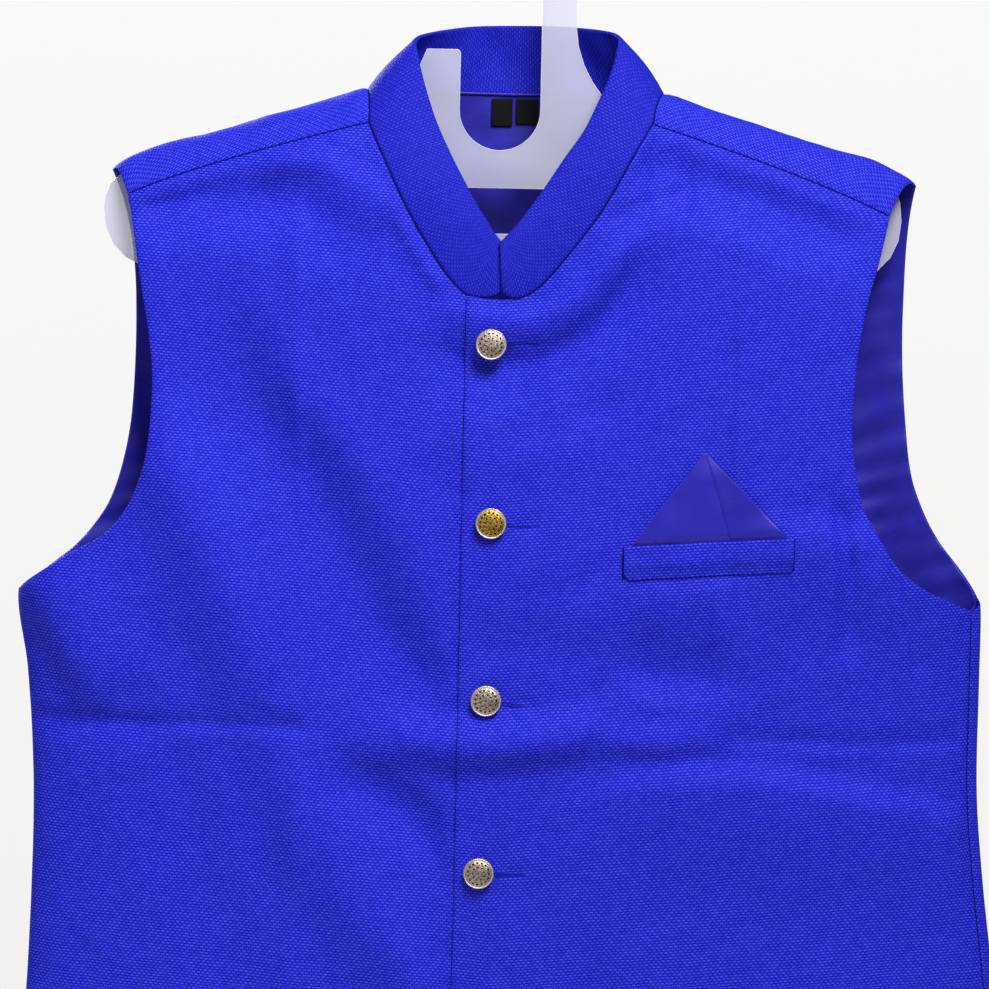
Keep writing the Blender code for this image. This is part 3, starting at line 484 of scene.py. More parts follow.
@dataclass(frozen=True)
class Suiting(Finish):
    """Royal blue poly-viscose suiting, woven in short floats laid like bricks, which give it a dry grain."""

    name: str = "royal_blue_suiting_woven"
    float_length: float = 2.75  # mm from one float to the next
    float_pitch: float = 1.63  # mm from row to row
    thread: str = "#1317C0"
    # Lighter thread tone, reached through each float's random tone and through a painted highlight at its crown.
    thread_pale_and_highlight: str = "#4048E2"
    # Colour between the floats: painted shade in the hollows of the weave.
    gap: str = "#05089A"
    sway: float = 0.0016  # metres that the rows wander
    cover: tuple[float, float] = (0.06, 0.80)  # relief at which the thread's colour starts and is whole; below it shows the gap's painted shade

    def build(self) -> Material:
        """The finish: floats as dashes over gaps darkened with painted shade, each float its own tone and lightened at
        its crown with a painted highlight, on the piece's cloth map.
        """
        nodes = self.nodes()
        cloth = nodes.cloth()
        wander = nodes.noise(cloth, 38.0, 1.0, "Color")
        sway = self.sway
        swayed = nodes.vector("MULTIPLY_ADD", wander, (sway, sway, 0.0), (-sway / 2, -sway / 2, 0.0))
        moved = nodes.vector("ADD", cloth, swayed)
        axes = nodes.axes(moved)
        row_at = nodes.math("MULTIPLY", axes[1], 1 / (self.float_pitch * MM))
        row = nodes.math("FLOOR", row_at)
        offset = nodes.math("MULTIPLY", row, 0.5)
        run_at = nodes.math("MULTIPLY_ADD", axes[0], 1 / (self.float_length * MM), offset)
        place = nodes.join(nodes.math("FLOOR", run_at), row)
        shade = add_node(nodes.tree, "ShaderNodeTexWhiteNoise", place, noise_dimensions="2D").outputs["Value"]
        crowns = []
        for at, power in ((row_at, 0.9), (run_at, 0.55)):
            arch = nodes.math("SINE", nodes.math("MULTIPLY", nodes.math("FRACT", at), math.pi))
            crowns.append(nodes.math("POWER", arch, power))
        relief = nodes.math("MULTIPLY", *crowns)
        fibre = nodes.streaks(moved, (700.0, 2600.0, 1.0), 2.0)
        # Painted highlight: each float is lighter at its crown, on top of its random tone.
        crown_highlight = nodes.math("MULTIPLY", nodes.math("POWER", relief, 2.5), 0.7)
        tone = nodes.blend(nodes.math("MULTIPLY_ADD", shade, 0.35, crown_highlight), self.thread, self.thread_pale_and_highlight)
        # Low relief takes the gap colour, a painted shade in the hollows between floats.
        cover = nodes.ranged(relief, *self.cover, 0.0, 1.0, interpolation_type="SMOOTHSTEP")
        height = nodes.math("MULTIPLY_ADD", fibre, 0.25, relief)
        return nodes.dress(
            Base_Color=nodes.blend(cover, self.gap, tone), Normal=nodes.bump(height, 0.4, 0.00035), Roughness=0.72,
            Specular_IOR_Level=0.14, Sheen_Weight=0.04, Sheen_Roughness=0.45, Sheen_Tint=linear("#6A74FF"),
        )


@dataclass(frozen=True)
class Satin(Finish):
    """Polyester satin, its floats too fine to see, so it shows as a soft gloss that runs along the wrinkles."""

    colour: str
    deep: str
    roughness: float = 0.42

    def build(self) -> Material:
        """The finish: a slightly streaked tone, a fine twill line and a soft gloss."""
        nodes = self.nodes()
        cloth = nodes.cloth()
        streak = nodes.streaks(cloth, (60.0, 900.0, 1.0), 3.0)
        broad = nodes.noise(cloth, 45.0, 2.0)
        part = nodes.ranged(nodes.math("MULTIPLY_ADD", streak, 0.6, broad), 0.45, 1.15, 0.0, 1.0)
        height = nodes.math("MULTIPLY_ADD", nodes.ribs(cloth, 420.0, 0.4, "DIAGONAL"), 0.2, broad)
        return nodes.dress(
            Base_Color=nodes.blend(part, self.deep, self.colour), Normal=nodes.bump(height, 0.25, 0.0004),
            Roughness=self.roughness, Specular_IOR_Level=0.25,
        )


@dataclass(frozen=True)
class LabelTape(Finish):
    """Black damask label tape, a tight narrow weave that looks matt with a faint cross rib."""

    name: str = "black_damask_tape"
    colour: str = "#050507"
    rib: str = "#0C0C10"

    def build(self) -> Material:
        """The finish: fine ribs across the tape."""
        nodes = self.nodes()
        ribs = nodes.ribs(nodes.cloth(), 500.0, 0.6, "Y")
        return nodes.dress(
            Base_Color=nodes.blend(ribs, self.colour, self.rib), Normal=nodes.bump(ribs, 0.3, 0.0002),
            Roughness=0.8, Specular_IOR_Level=0.15,
        )


@dataclass(frozen=True)
class AgedBrass(Finish):
    """Die-struck zinc with a worn antique plating: the metal is pale, paler still all round the rim, and the hollows
    stay brown.
    """

    name: str = "antique_silver_struck"
    bright: str = "#C0B1A4"
    dull: str = "#85766A"
    hollow: str = "#241B16"
    rim: str = "#D3C6BE"
    rim_at: tuple[float, float] = (0.0074, 0.0081)  # metres from the centre
    rings: Table = (  # marks in a ring, its radius, half their run, half their rise, turn of the first
        (9, 0.0036, 0.00055, 0.00055, 0.2), (15, 0.0062, 0.0008, 0.0005, 0.0),
    )

    def build(self) -> Material:
        """The finish: the patina follows the struck pattern, read from the face map's radius and angle."""
        nodes = self.nodes()
        face = nodes.cloth()
        dark = self.pattern(nodes, *nodes.axes(face)[:2])
        metal = nodes.blend(nodes.ranged(nodes.noise(face, 620.0, 3.0), 0.38, 0.62, 0.0, 1.0), self.dull, self.bright)
        edge = nodes.ranged(nodes.vector("LENGTH", face), *self.rim_at, 0.0, 1.0)
        sunk = nodes.math("MULTIPLY_ADD", dark, -1.0, nodes.noise(face, 2400.0, 2.0))
        return nodes.dress(
            Base_Color=nodes.blend(dark, nodes.blend(edge, metal, self.rim), self.hollow), Metallic=1.0,
            Roughness=nodes.ranged(dark, 0.0, 1.0, 0.42, 0.7), Normal=nodes.bump(sunk, 0.7, 0.00022),
        )

    def pattern(self, nodes: Nodes, across: Socket, up: Socket) -> Socket:
        """The struck hollows, 1 where they are: a heart in a ring of round dots in a ring of leaf marks.

        Args:
            nodes: The material's nodes.
            across: The face map's x, in metres from the button's centre.
            up: Its y.

        Returns:
            The socket.
        """
        radius = nodes.vector("LENGTH", nodes.join(across, up))
        angle = nodes.math("ARCTAN2", up, across)
        total = nodes.ranged(radius, 0.0003, 0.0007, 1.0, 0.0)
        for count, ring, half_run, half_rise, turn in self.rings:
            sector = nodes.math("MULTIPLY_ADD", angle, count / math.tau, turn)
            part = nodes.math("SUBTRACT", nodes.math("FRACT", sector), 0.5)
            run = nodes.math("MULTIPLY", part, math.tau * ring / count / half_run)
            rise = nodes.math("MULTIPLY_ADD", radius, 1 / half_rise, -ring / half_rise)
            mark = nodes.ranged(nodes.vector("LENGTH", nodes.join(run, rise)), 0.75, 1.1, 1.0, 0.0)
            total = nodes.math("MAXIMUM", total, mark)
        return total


@dataclass(frozen=True)
class FrostedSheet(Finish):
    """Die-cut frosted polypropylene sheet: milky, half clear, with a satin skin and a few scuffs."""

    name: str = "frosted_polypropylene_sheet"
    colour: str = "#C8C8DC"
    alpha: float = 0.5

    def build(self) -> Material:
        """The finish: half clear milk with fine haze in the gloss."""
        nodes = self.nodes()
        haze = nodes.noise(nodes.place(), 260.0, 3.0)
        return nodes.dress(
            Base_Color=linear(self.colour), Roughness=nodes.ranged(haze, 0.3, 0.7, 0.34, 0.5),
            Normal=nodes.bump(haze, 0.08, 0.0003), Alpha=self.alpha, IOR=1.49,
        )


@dataclass(frozen=True)
class CutEdge(Finish):
    """The sheet's cut edge, where the light that runs inside it comes out, so it shows as a white line."""

    name: str = "polypropylene_cut_edge"

    def build(self) -> Material:
        """The finish: nearly opaque white with faint saw lines."""
        nodes = self.nodes()
        tone = nodes.blend(nodes.noise(nodes.place(), 900.0, 1.0), "#E9E9F2", "#F7F7FB")
        return nodes.dress(Base_Color=tone, Roughness=0.4, Alpha=0.9)


@dataclass(frozen=True)
class Twist(Finish):
    """Spun polyester buttonhole twist, a two-ply thread with a soft gloss on each turn."""

    name: str = "buttonhole_twist"
    colour: str = "#1519A0"
    ply: str = "#0B0D62"

    def build(self) -> Material:
        """The finish: fine twisted plies."""
        nodes = self.nodes()
        plies = nodes.ribs(nodes.place(), 900.0, 1.0, "DIAGONAL")
        return nodes.dress(
            Base_Color=nodes.blend(plies, self.ply, self.colour), Normal=nodes.bump(plies, 0.4, 0.0001),
            Roughness=0.8, Specular_IOR_Level=0.08,
        )


@dataclass(frozen=True)
class Floor(Finish):
    """Pale painted studio floor, matt with a faint mottle."""

    name: str = "studio_floor_paint"

    def build(self) -> Material:
        """The finish: near white with a little unevenness."""
        nodes = self.nodes()
        return nodes.dress(
            Base_Color=nodes.blend(nodes.noise(nodes.place(), 3.0, 3.0), "#E6E6E4", "#EEEEEC"), Roughness=0.8
        )


def make_mesh(name: str, places: Array, faces: Sequence[Sequence[int]], maps: Array, *finishes: Material) -> Mesh:
    """Makes a smooth mesh.

    Args:
        name: Its name.
        places: Its points, in millimetres.
        faces: The point numbers of its faces.
        maps: Its points' places on the cloth, in millimetres.
        finishes: Its finishes.

    Returns:
        The mesh.
    """
    mesh = bpy.data.meshes.new(name)
    mesh.from_pydata([tuple(place) for place in places * MM], [], [tuple(int(n) for n in face) for face in faces])
    cloth = mesh.uv_layers.new(name="cloth")
    loops = np.empty(len(mesh.loops), np.int32)
    mesh.loops.foreach_get("vertex_index", loops)
    cloth.data.foreach_set("uv", (maps * MM)[loops].ravel())
    for finish in finishes:
        mesh.materials.append(finish)
    mesh.shade_smooth()
    return mesh


def end_bmesh(work: bmesh.types.BMesh, name: str, crisp: float, *finishes: Material) -> Mesh:
    """A smooth mesh from a bmesh, with its edges kept crisp that turn by more than so many degrees."""
    mesh = bpy.data.meshes.new(name)
    work.to_mesh(mesh)
    work.free()
    for finish in finishes:
        mesh.materials.append(finish)
    mesh.shade_smooth()
    mesh.set_sharp_from_angle(angle=math.radians(crisp))
    return mesh


def place_mesh(name: str, mesh: Mesh) -> Object:
    """Puts a mesh in the scene as a piece of the jacket."""
    piece = bpy.data.objects.new(name, mesh)
    bpy.context.scene.collection.objects.link(piece)
    return piece


def settle(piece: Object, slot: str, *nodes: str) -> Object:
    """Rides a piece on the jacket and hides the solids that it stands for."""
    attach(piece, "root")
    if nodes:
        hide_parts(*nodes)
    log.info("%s: %d faces", piece.name, len(piece.data.polygons))
    return piece


@dataclass
class Shell:
    """A closed shell of cloth: an outer and an inner face that meet in a rolled edge all round."""

    name: str
    wall: float
    roll: float = 2.0
    roundness: float = 0.5
    parts: list[tuple[Array, Array, Array]] = field(default_factory=list)
    cells: list[Array] = field(default_factory=list)
    count: int = 0

    def add(self, points: Array, normals: Array, maps: Array) -> Array:
        """Adds points of the outer face.

        Args:
            points: Their places.
            normals: The way out of the cloth at each.
            maps: Their place on the cloth, in millimetres.

        Returns:
            Their numbers, in the same grid.
        """
        shape = points.shape[:-1]
        numbers = self.count + np.arange(math.prod(shape)).reshape(shape)
        self.parts.append((points.reshape(-1, 3), normals.reshape(-1, 3), maps.reshape(-1, 2)))
        self.count += numbers.size
        return numbers

    def join(self, numbers: Array) -> None:
        """Adds the cells of a grid of point numbers."""
        quads = np.stack([numbers[:-1, :-1], numbers[:-1, 1:], numbers[1:, 1:], numbers[1:, :-1]], axis=-1)
        self.cells.append(quads.reshape(-1, 4))

    def grid(self, points: Array, normals: Array, maps: Array) -> None:
        """Adds a whole grid of points with its cells."""
        self.join(self.add(points, normals, maps))

    def build(self, outer: Material, inner: Material | None = None, facing: float = 0.0) -> Object:
        """Makes the shell.

        Args:
            outer: The finish of the outer face.
            inner: The finish of the inner face, where it differs.
            facing: How far the outer finish runs round on to the inner face.

        Returns:
            The shell's object.
        """
        points, normals, maps = (np.concatenate(group) for group in zip(*self.parts))
        normals = unit(normals)
        cells = self.face_out(points, normals, np.concatenate(self.cells))
        ends = np.sort(np.concatenate([cells[:, [a, (a + 1) % 4]] for a in range(4)]), axis=1)
        edges, uses = np.unique(ends, axis=0, return_counts=True)
        border = np.unique(edges[uses == 1])
        near = self.near_edge(points, border)
        half = self.wall / 2
        swell = half * np.maximum(1 - (1 - np.clip(near / self.roll, 0, 1)) ** 2, 0.0) ** self.roundness
        middle, swell = points - normals * half, normals * swell[:, None]
        inside = np.setdiff1d(np.arange(len(points)), border)
        inner_number = np.arange(len(points))
        inner_number[inside] = len(points) + np.arange(len(inside))
        places = np.concatenate([middle + swell, (middle - swell)[inside]])
        faces = np.concatenate([cells, inner_number[cells][:, ::-1]])
        finishes = [outer] if inner is None else [outer, inner]
        mesh = make_mesh(self.name, places, faces, np.concatenate([maps, maps[inside]]), *finishes)
        if inner is not None:
            slots = np.zeros(len(faces), np.int32)
            slots[len(cells) :] = near[cells].min(axis=1) > facing
            mesh.polygons.foreach_set("material_index", slots)
        return place_mesh(self.name, mesh)

    @staticmethod
    def face_out(points: Array, normals: Array, cells: Array) -> Array:
        """The cells turned so that each faces out of the cloth."""
        a, b, c, d = (points[cells[:, k]] for k in range(4))
        facing = np.einsum("ij,ij->i", np.cross(c - a, d - b), normals[cells[:, 0]])
        return np.where(facing[:, None] < 0, cells[:, ::-1], cells)

    @staticmethod
    def near_edge(points: Array, border: Array) -> Array:
        """Distance from each point to the shell's border."""
        tree = KDTree(len(border))
        for number in border:
            tree.insert(points[number], int(number))
        tree.balance()
        return np.array([tree.find(point)[2] for point in points])


def cord(name: str, line: Array, out: Array, radius: float, finish: Material, sides: int = 8) -> Object:
    """Makes a round cord.

    Args:
        name: The piece's name.
        line: The points of its middle line.
        out: A way across it at each.
        radius: Its radius.
        finish: Its finish.
        sides: How many sides its section has.

    Returns:
        The cord's object.
    """
    along = unit(np.gradient(line, axis=0))
    rise = unit(np.cross(along, out))
    flat = np.cross(rise, along)
    turns = np.arange(sides) / sides * math.tau
    ring = np.cos(turns)[None, :, None] * flat[:, None] + np.sin(turns)[None, :, None] * rise[:, None]
    numbers = np.arange(len(line) * sides).reshape(len(line), sides)
    after = np.roll(numbers, -1, axis=1)
    cells = np.stack([numbers[:-1], after[:-1], after[1:], numbers[1:]], axis=-1).reshape(-1, 4)
    maps = np.stack(np.broadcast_arrays(run_of(line)[:, None], turns * radius), axis=-1).reshape(-1, 2)
    places = (line[:, None] + ring * radius).reshape(-1, 3)
    mesh = make_mesh(name, places, [*cells, numbers[0][::-1], numbers[-1]], maps, finish)
    work = bmesh.new()
    work.from_mesh(mesh)
    bmesh.ops.recalc_face_normals(work, faces=work.faces)
    work.to_mesh(mesh)
    work.free()
    return place_mesh(name, mesh)


FRONT_CREASES = {
    "both": (
        (((-55, 374), (-38, 377), (-18, 379), (11, 378), (42, 374), (67, 367)), 24, 21, 8.4),
        (((-23, 129), (-2, 133), (21, 132), (43, 122), (60, 105), (72, 88)), 10, 17, 4),
        (((-31, 155), (3, 159), (29, 156), (55, 141), (74, 119), (85, 98)), 15, 36, -6),
        (((-31, 202), (10, 202), (50, 192)), 26, 34, 1.6),
    ),
    "front_right": (
        (((-155, 142), (-143, 182), (-122, 210), (-102, 239), (-87, 267), (-72, 296), (-56, 324), (-39, 347)), 32, 58,
            -9),
        (((-196, 200), (-178, 240), (-160, 280), (-141, 326), (-126, 361)), 36, 34, 6),
        (((-258, 288), (-241, 322), (-224, 352)), 46, 24, 7.2),
        (((-94, 181), (-54, 238), (-29, 295), (-19, 346)), 22, 24, 2),
        (((-115, 69), (-113, 153), (-111, 230)), 9, 22, 2.2, Press.SHARP),
        (((-108, 273), (-107, 319), (-108, 362)), 9, 12, 0.8, Press.SHARP),
        (((-108, 377), (-107, 446), (-108, 518), (-105, 693)), 9, 24, 2.3, Press.SHARP),
        (((-136, 38), (-100, 48), (-65, 67)), 15, 28, 5.2),
        (((-163, 74), (-119, 81), (-85, 89), (-57, 101)), 24, 26, -1.6),
        (((-57, 68), (-44, 94), (-28, 116)), 9, 12, 2.6), (((-267, 370), (-237, 371), (-194, 372)), 12, 16, -2.6),
        (((-25, 136), (-26, 180), (-26, 226)), 8, 14, -1.4),
        (((-206, 75), (-171, 66), (-131, 61), (-97, 58)), 20, 30, -6.8),
        (((-36, 341), (-10, 343), (18, 337)), 24, 14, -3),
        (((-269, 366), (-220, 370), (-162, 370), (-108, 371)), 16, 7, -2.4, Press.SHARP),
        (((-137, 357), (-108, 370)), 4, 16, -1.6), (((-81, 395), (-49, 415), (-19, 441), (10, 466)), 22, 30, -7.6),
        (((-116, 386), (-107, 411), (-95, 440), (-77, 468), (-54, 497), (-29, 531), (-5, 582)), 36, 34, 6.6),
        (((-176, 378), (-170, 430), (-154, 481), (-139, 533)), 24, 34, -1.6),
        (((-255, 463), (-235, 486), (-213, 507)), 6, 6, 0.8), (((-51, 194), (-43, 226), (-23, 250)), 8, 8, 0.7),
        (((-213, 557), (-199, 695)), 40, 34, 3.4),
    ),
    "front_left": (
        (((67, 73), (87, 64), (113, 54)), 9, 18, -2.4), (((93, 39), (89, 62), (82, 80)), 5, 6, -1.5),
        (((108, 15), (110, 56), (103, 85)), 6, 8, -1.8), (((59, 98), (94, 80), (128, 69)), 26, 26, 1.6),
        (((81, 35), (116, 49), (162, 65), (203, 83)), 18, 34, -6), (((4, 197), (38, 192), (72, 175)), 26, 26, -2.8),
        (((-12, 269), (23, 272), (63, 256)), 22, 22, 1.3), (((41, 316), (64, 296), (86, 281)), 20, 22, 1.2),
        (((-11, 315), (24, 320), (58, 316)), 26, 22, -1.5), (((79, 329), (110, 336), (138, 333)), 34, 22, -6.2),
        (((86, 290), (115, 287), (141, 283)), 8, 22, 1.6),
        (((140, 64), (142, 142), (141, 225)), 22, 10, 2.5, Press.SHARP),
        (((135, 286), (135, 326), (135, 375)), 9, 18, 2.2, Press.SHARP),
        (((131, 383), (130, 441), (130, 516), (133, 688)), 8, 18, 1.8, Press.SHARP),
        (((69, 374), (100, 375), (134, 371)), 16, 13, 3.4),
        (((139, 372), (180, 373), (220, 374), (272, 371)), 15, 7, -2.3, Press.SHARP),
        (((181, 244), (183, 279), (182, 319)), 8, 9, -1.6), (((199, 235), (206, 278), (209, 318)), 10, 11, -4.6),
        (((227, 266), (234, 289), (236, 324)), 7, 8, -1.6), (((196, 235), (199, 290)), 7, 7, 1.2),
        (((239, 312), (246, 381), (254, 461)), 14, 18, -1.6),
        (((77, 408), (135, 398), (210, 408), (273, 421)), 18, 80, 6.6), (((10, 145), (26, 147)), 5, 4, -1.3),
        (((12, 250), (27, 251)), 5, 4, -1.3), (((12, 352), (27, 354)), 5, 4, -1.3),
        (((10, 451), (24, 452)), 5, 4, -1.3), (((160, 256), (212, 262), (270, 277)), 22, 60, 5.5),
        (((66, 437), (91, 522), (99, 608)), 34, 30, 1.6), (((21, 460), (44, 486), (68, 523)), 23, 23, -1.2),
        (((158, 400), (176, 463), (184, 549)), 30, 26, 1.4), (((45, 517), (72, 690)), 36, 30, -3),
        (((212, 497), (227, 686)), 34, 40, 3.4),
    ),
}

BACK_CREASES = (
    (((-170, 110), (-120, 190), (-90, 300)), 30, 34, -8.0), (((175, 105), (135, 200), (105, 310)), 34, 30, -8.0),
    (((-60, 40), (-40, 120), (-30, 200)), 22, 26, -3.0), (((85, 40), (62, 120), (50, 200)), 26, 22, -3.0),
    (((5, 110), (12, 300)), 34, 34, 4.6), (((-230, 330), (-205, 430), (-190, 560)), 30, 36, -7.5),
    (((245, 330), (222, 430), (205, 560)), 36, 30, -7.5), (((-75, 420), (-80, 660)), 32, 36, 6.5),
    (((95, 430), (105, 660)), 36, 32, 6.5), (((10, 390), (5, 680)), 32, 32, -7.0),
    (((-215, 296), (-150, 330), (-90, 345)), 16, 24, -4.0), (((230, 296), (170, 332), (110, 350)), 16, 24, -4.0),
    (((-200, 368), (-120, 372), (-20, 370)), 16, 6, -1.8, Press.SHARP),
    (((40, 371), (130, 374), (250, 370)), 16, 6, -1.6, Press.SHARP),
    (((-108, 120), (-110, 300), (-107, 640)), 9, 18, 1.8, Press.SHARP),
    (((128, 130), (126, 320), (130, 640)), 16, 9, 1.8, Press.SHARP),
)


def unevenness(x: Array, drop: Array, seed: float) -> Array:
    """The slight hand-wide waviness of cloth that has been folded and hung, in millimetres."""
    total = np.zeros(np.shape(x))
    for run, rise, phase in ((61, 24, 0.9), (43, -58, 2.1), (97, 39, 4.0), (-33, 71, 5.2), (29, 33, 1.3)):
        total += 0.11 * np.sin(math.tau * (x / run + drop / rise) + phase * seed)
    return total


@dataclass
class FrontPanel:
    """One front, from the hem up to the forward shoulder seam, with its placket and its pressed creases."""

    name: str
    wall: float = 1.7
    roll: float = 3.4
    step: float = 2.9
    lining_facing: float = 26.0
    fan_width: float = 205.0  # from the placket to the side
    row_dip: float = 5.0  # degrees that the weave's rows fall towards the sides

    @property
    def is_left(self) -> bool:
        """Whether this is the wearer's left front, which laps over the other."""
        return self.name == "front_left"

    def outer_edge(self, row: Array) -> Pair:
        """Turn and drop of the side seam and armhole at a row number."""
        drops = PATTERN.side_rows + tuple(pair[0] for pair in PATTERN.front_rows) + (PATTERN.corner_armhole,)
        table = tuple(enumerate(drops))
        drop = smooth(table, 1, row)
        side = PATTERN.side_turn(self.is_left, drop) - (0 if self.is_left else 4)
        hole = PATTERN.armhole_turn(self.name, drop)
        return mix(side, hole, np.clip(row - PATTERN.last_side, 0.0, 1.0)), drop

    def placket_drops(self, row: Array) -> Array:
        """Drops of the placket's lines at a row number, one column for each line."""
        low = [drop + PATTERN.front_sag * float(PATTERN.row_sag(drop)) for drop in PATTERN.side_rows]
        low += [pair[1] for pair in PATTERN.front_rows]
        rows = [(index, *([drop] * 5)) for index, drop in enumerate(low)]
        rows.append((len(low), *PATTERN.neck_front))
        return smooth_columns(rows, range(1, 6), row)

    def lower_grid(self, fan: Array) -> Pair:
        """Turns and drops from the hem to the row that meets the neck seam's lowest stretch.

        Args:
            fan: The columns' shares of the way from the placket to the outer edge.

        Returns:
            Turns and drops, one row for each row of the grid.
        """
        count = len(PATTERN.side_rows) + len(PATTERN.front_rows)
        knots = np.arange(count + 1)
        edge, middle = self.outer_edge(knots)[1], self.placket_drops(knots)[:, 2]
        travelled = np.concatenate([[0.0], np.cumsum(np.abs(np.diff((edge + middle) / 2)))])
        row = np.interp(stations(travelled[-1], self.step), travelled, knots)
        lines = np.array(PATTERN.placket)
        x_lines = lines[0] + stations(lines[-1] - lines[0], self.step, self.is_left, not self.is_left)
        drops = np.stack([np.interp(x_lines, lines, drop) for drop in self.placket_drops(row)])
        x = PATTERN.placket_x(x_lines[None, :], drops)
        if not self.is_left:
            x, drops = x[:, ::-1], drops[:, ::-1]
        turns = FORM.turn_at(x, drops)
        edge_turn, edge_drop = self.outer_edge(row)
        fan_turns = mix(turns[:, -1:], edge_turn[:, None], fan[None, 1:])
        fan_drops = mix(drops[:, -1:], edge_drop[:, None], fan[None, 1:])
        return np.hstack([turns, fan_turns]), np.hstack([drops, fan_drops])

    def upper_grid(self, fan: Array) -> Pair:
        """Turns and drops of the rows that fan out from the neck seam, the first of them on the lower grid."""
        neck = PATTERN.necklines[self.name]
        holes = (PATTERN.corner_armhole, *PATTERN.fan_armholes, PATTERN.armholes[self.name][0][0])
        table = [(index, *spot, hole) for index, (spot, hole) in enumerate(zip(neck, holes))]
        knots = np.arange(len(table))
        spots = np.array(neck)
        travelled = np.concatenate([[0.0], np.cumsum(np.hypot(*np.diff(spots, axis=0).T))])
        row = np.interp(stations(travelled[-1], self.step, fine_start=False), travelled, knots)
        neck_drop, neck_x, hole_drop = smooth_columns(table, (1, 2, 3), row).T
        start = FORM.turn_at(neck_x, neck_drop)
        end = PATTERN.armhole_turn(self.name, hole_drop)
        return mix(start[:, None], end[:, None], fan), mix(neck_drop[:, None], hole_drop[:, None], fan)

    def lifted(self, turn: Array, drop: Array) -> Pair:
        """Points of the front's outer face, with its creases, and the way out at each."""
        skin, out = FORM.face(turn, drop)
        x = skin[..., 0]
        lift = creased(FRONT_CREASES["front_left"], x, drop)
        if not self.is_left:  # under the other front it takes that one's creases, so the two lie nested
            lift = mix(lift, creased(FRONT_CREASES["front_right"], x, drop), ease((-x - 17) / 20))
        lift = lift + creased(FRONT_CREASES["both"], x, drop)
        lift = (lift + unevenness(x, drop, 1.0 if self.is_left else 2.0)) * self.free(turn, x, drop)
        if self.is_left:
            lift = lift + PATTERN.lift_at(x)
        return skin + out * lift[..., None], out

    def free(self, turn: Array, x: Array, drop: Array) -> Array:
        """How free the cloth is to crease: 0 on a seam that holds it to its neighbour, 1 away from the seams."""
        neck, hole = PATTERN.necklines[self.name], PATTERN.armholes[self.name][0]
        ends = [(abs(end_x - FORM.neck_centre), end_drop) for end_drop, end_x in (neck[-1], hole)]
        seam = np.interp(np.abs(x - FORM.neck_centre), *zip(*ends))
        below = ease((drop - seam) / 11)
        rows = np.array(neck)[::-1]
        drops, edges = np.append(rows[:, 0], PATTERN.neck_front[2]), np.append(rows[:, 1], CENTRE_FRONT)
        beside = np.abs(x - np.interp(drop, drops, edges)) * 0.8
        under = np.hypot(np.maximum(drop - drops[-1], 0), np.maximum(np.abs(x - CENTRE_FRONT) - 18, 0))
        aside = np.where(drop < drops[-1], beside, under)
        wrap = ease(np.cos(turn * np.pi / 2) * 4 + 0.1)
        side = ease((FORM.sides(drop)[1] - PATTERN.side_seam - x) / 9) if self.is_left else 1.0
        return below * ease(aside / 8) * wrap * side

    def place(self, x: float, drop: float) -> Pair:
        """The point of the outer face at an x and drop, and the way out of it."""
        at, down = np.array([x]), np.array([drop])
        point, out = self.lifted(FORM.turn_at(at, down), down)
        return point[0], out[0]

    def build(self, suiting: Material, lining: Material) -> Object:
        """Makes the front.

        Args:
            suiting: The finish outside and round the edges.
            lining: The finish of the lining inside.

        Returns:
            The piece.
        """
        fan = shares(self.fan_width, self.step)
        low_turn, low_drop = self.lower_grid(fan)
        up_turn, up_drop = self.upper_grid(fan)
        low, low_out = self.lifted(low_turn, low_drop)
        up, up_out = self.lifted(up_turn, up_drop)
        first = low.shape[1] - len(fan)
        low_run, up_run = run_of(low * LEVEL, 1), run_of(up * LEVEL, 1)  # the warp hangs plumb
        centre = int(np.argmin(np.abs(low[-1, : first + 1, 0] - CENTRE_FRONT)))
        low_run = low_run - low_run[:, centre : centre + 1]
        way = np.sign(up[0, -1, 0] - up[0, 0, 0])
        up_run = up_run + low_run[-1, first] + way * (up[:, :1, 0] - up[0, 0, 0])
        dip = math.tan(math.radians(self.row_dip))
        shell = Shell(f"{self.name}_cloth", self.wall, self.roll, 0.8)
        low_map = np.stack([low_run, low[..., 2] - dip * np.abs(low_run)], axis=-1)
        up_map = np.stack([up_run, up[..., 2] - dip * np.abs(up_run)], axis=-1)
        numbers = shell.add(low, low_out, low_map)
        shell.join(numbers)
        upper = shell.add(up[1:], up_out[1:], up_map[1:])
        shell.join(np.vstack([numbers[-1:, first:], upper]))
        piece = shell.build(suiting, lining, self.lining_facing)
        return settle(piece, "royal_blue_suiting", self.name)


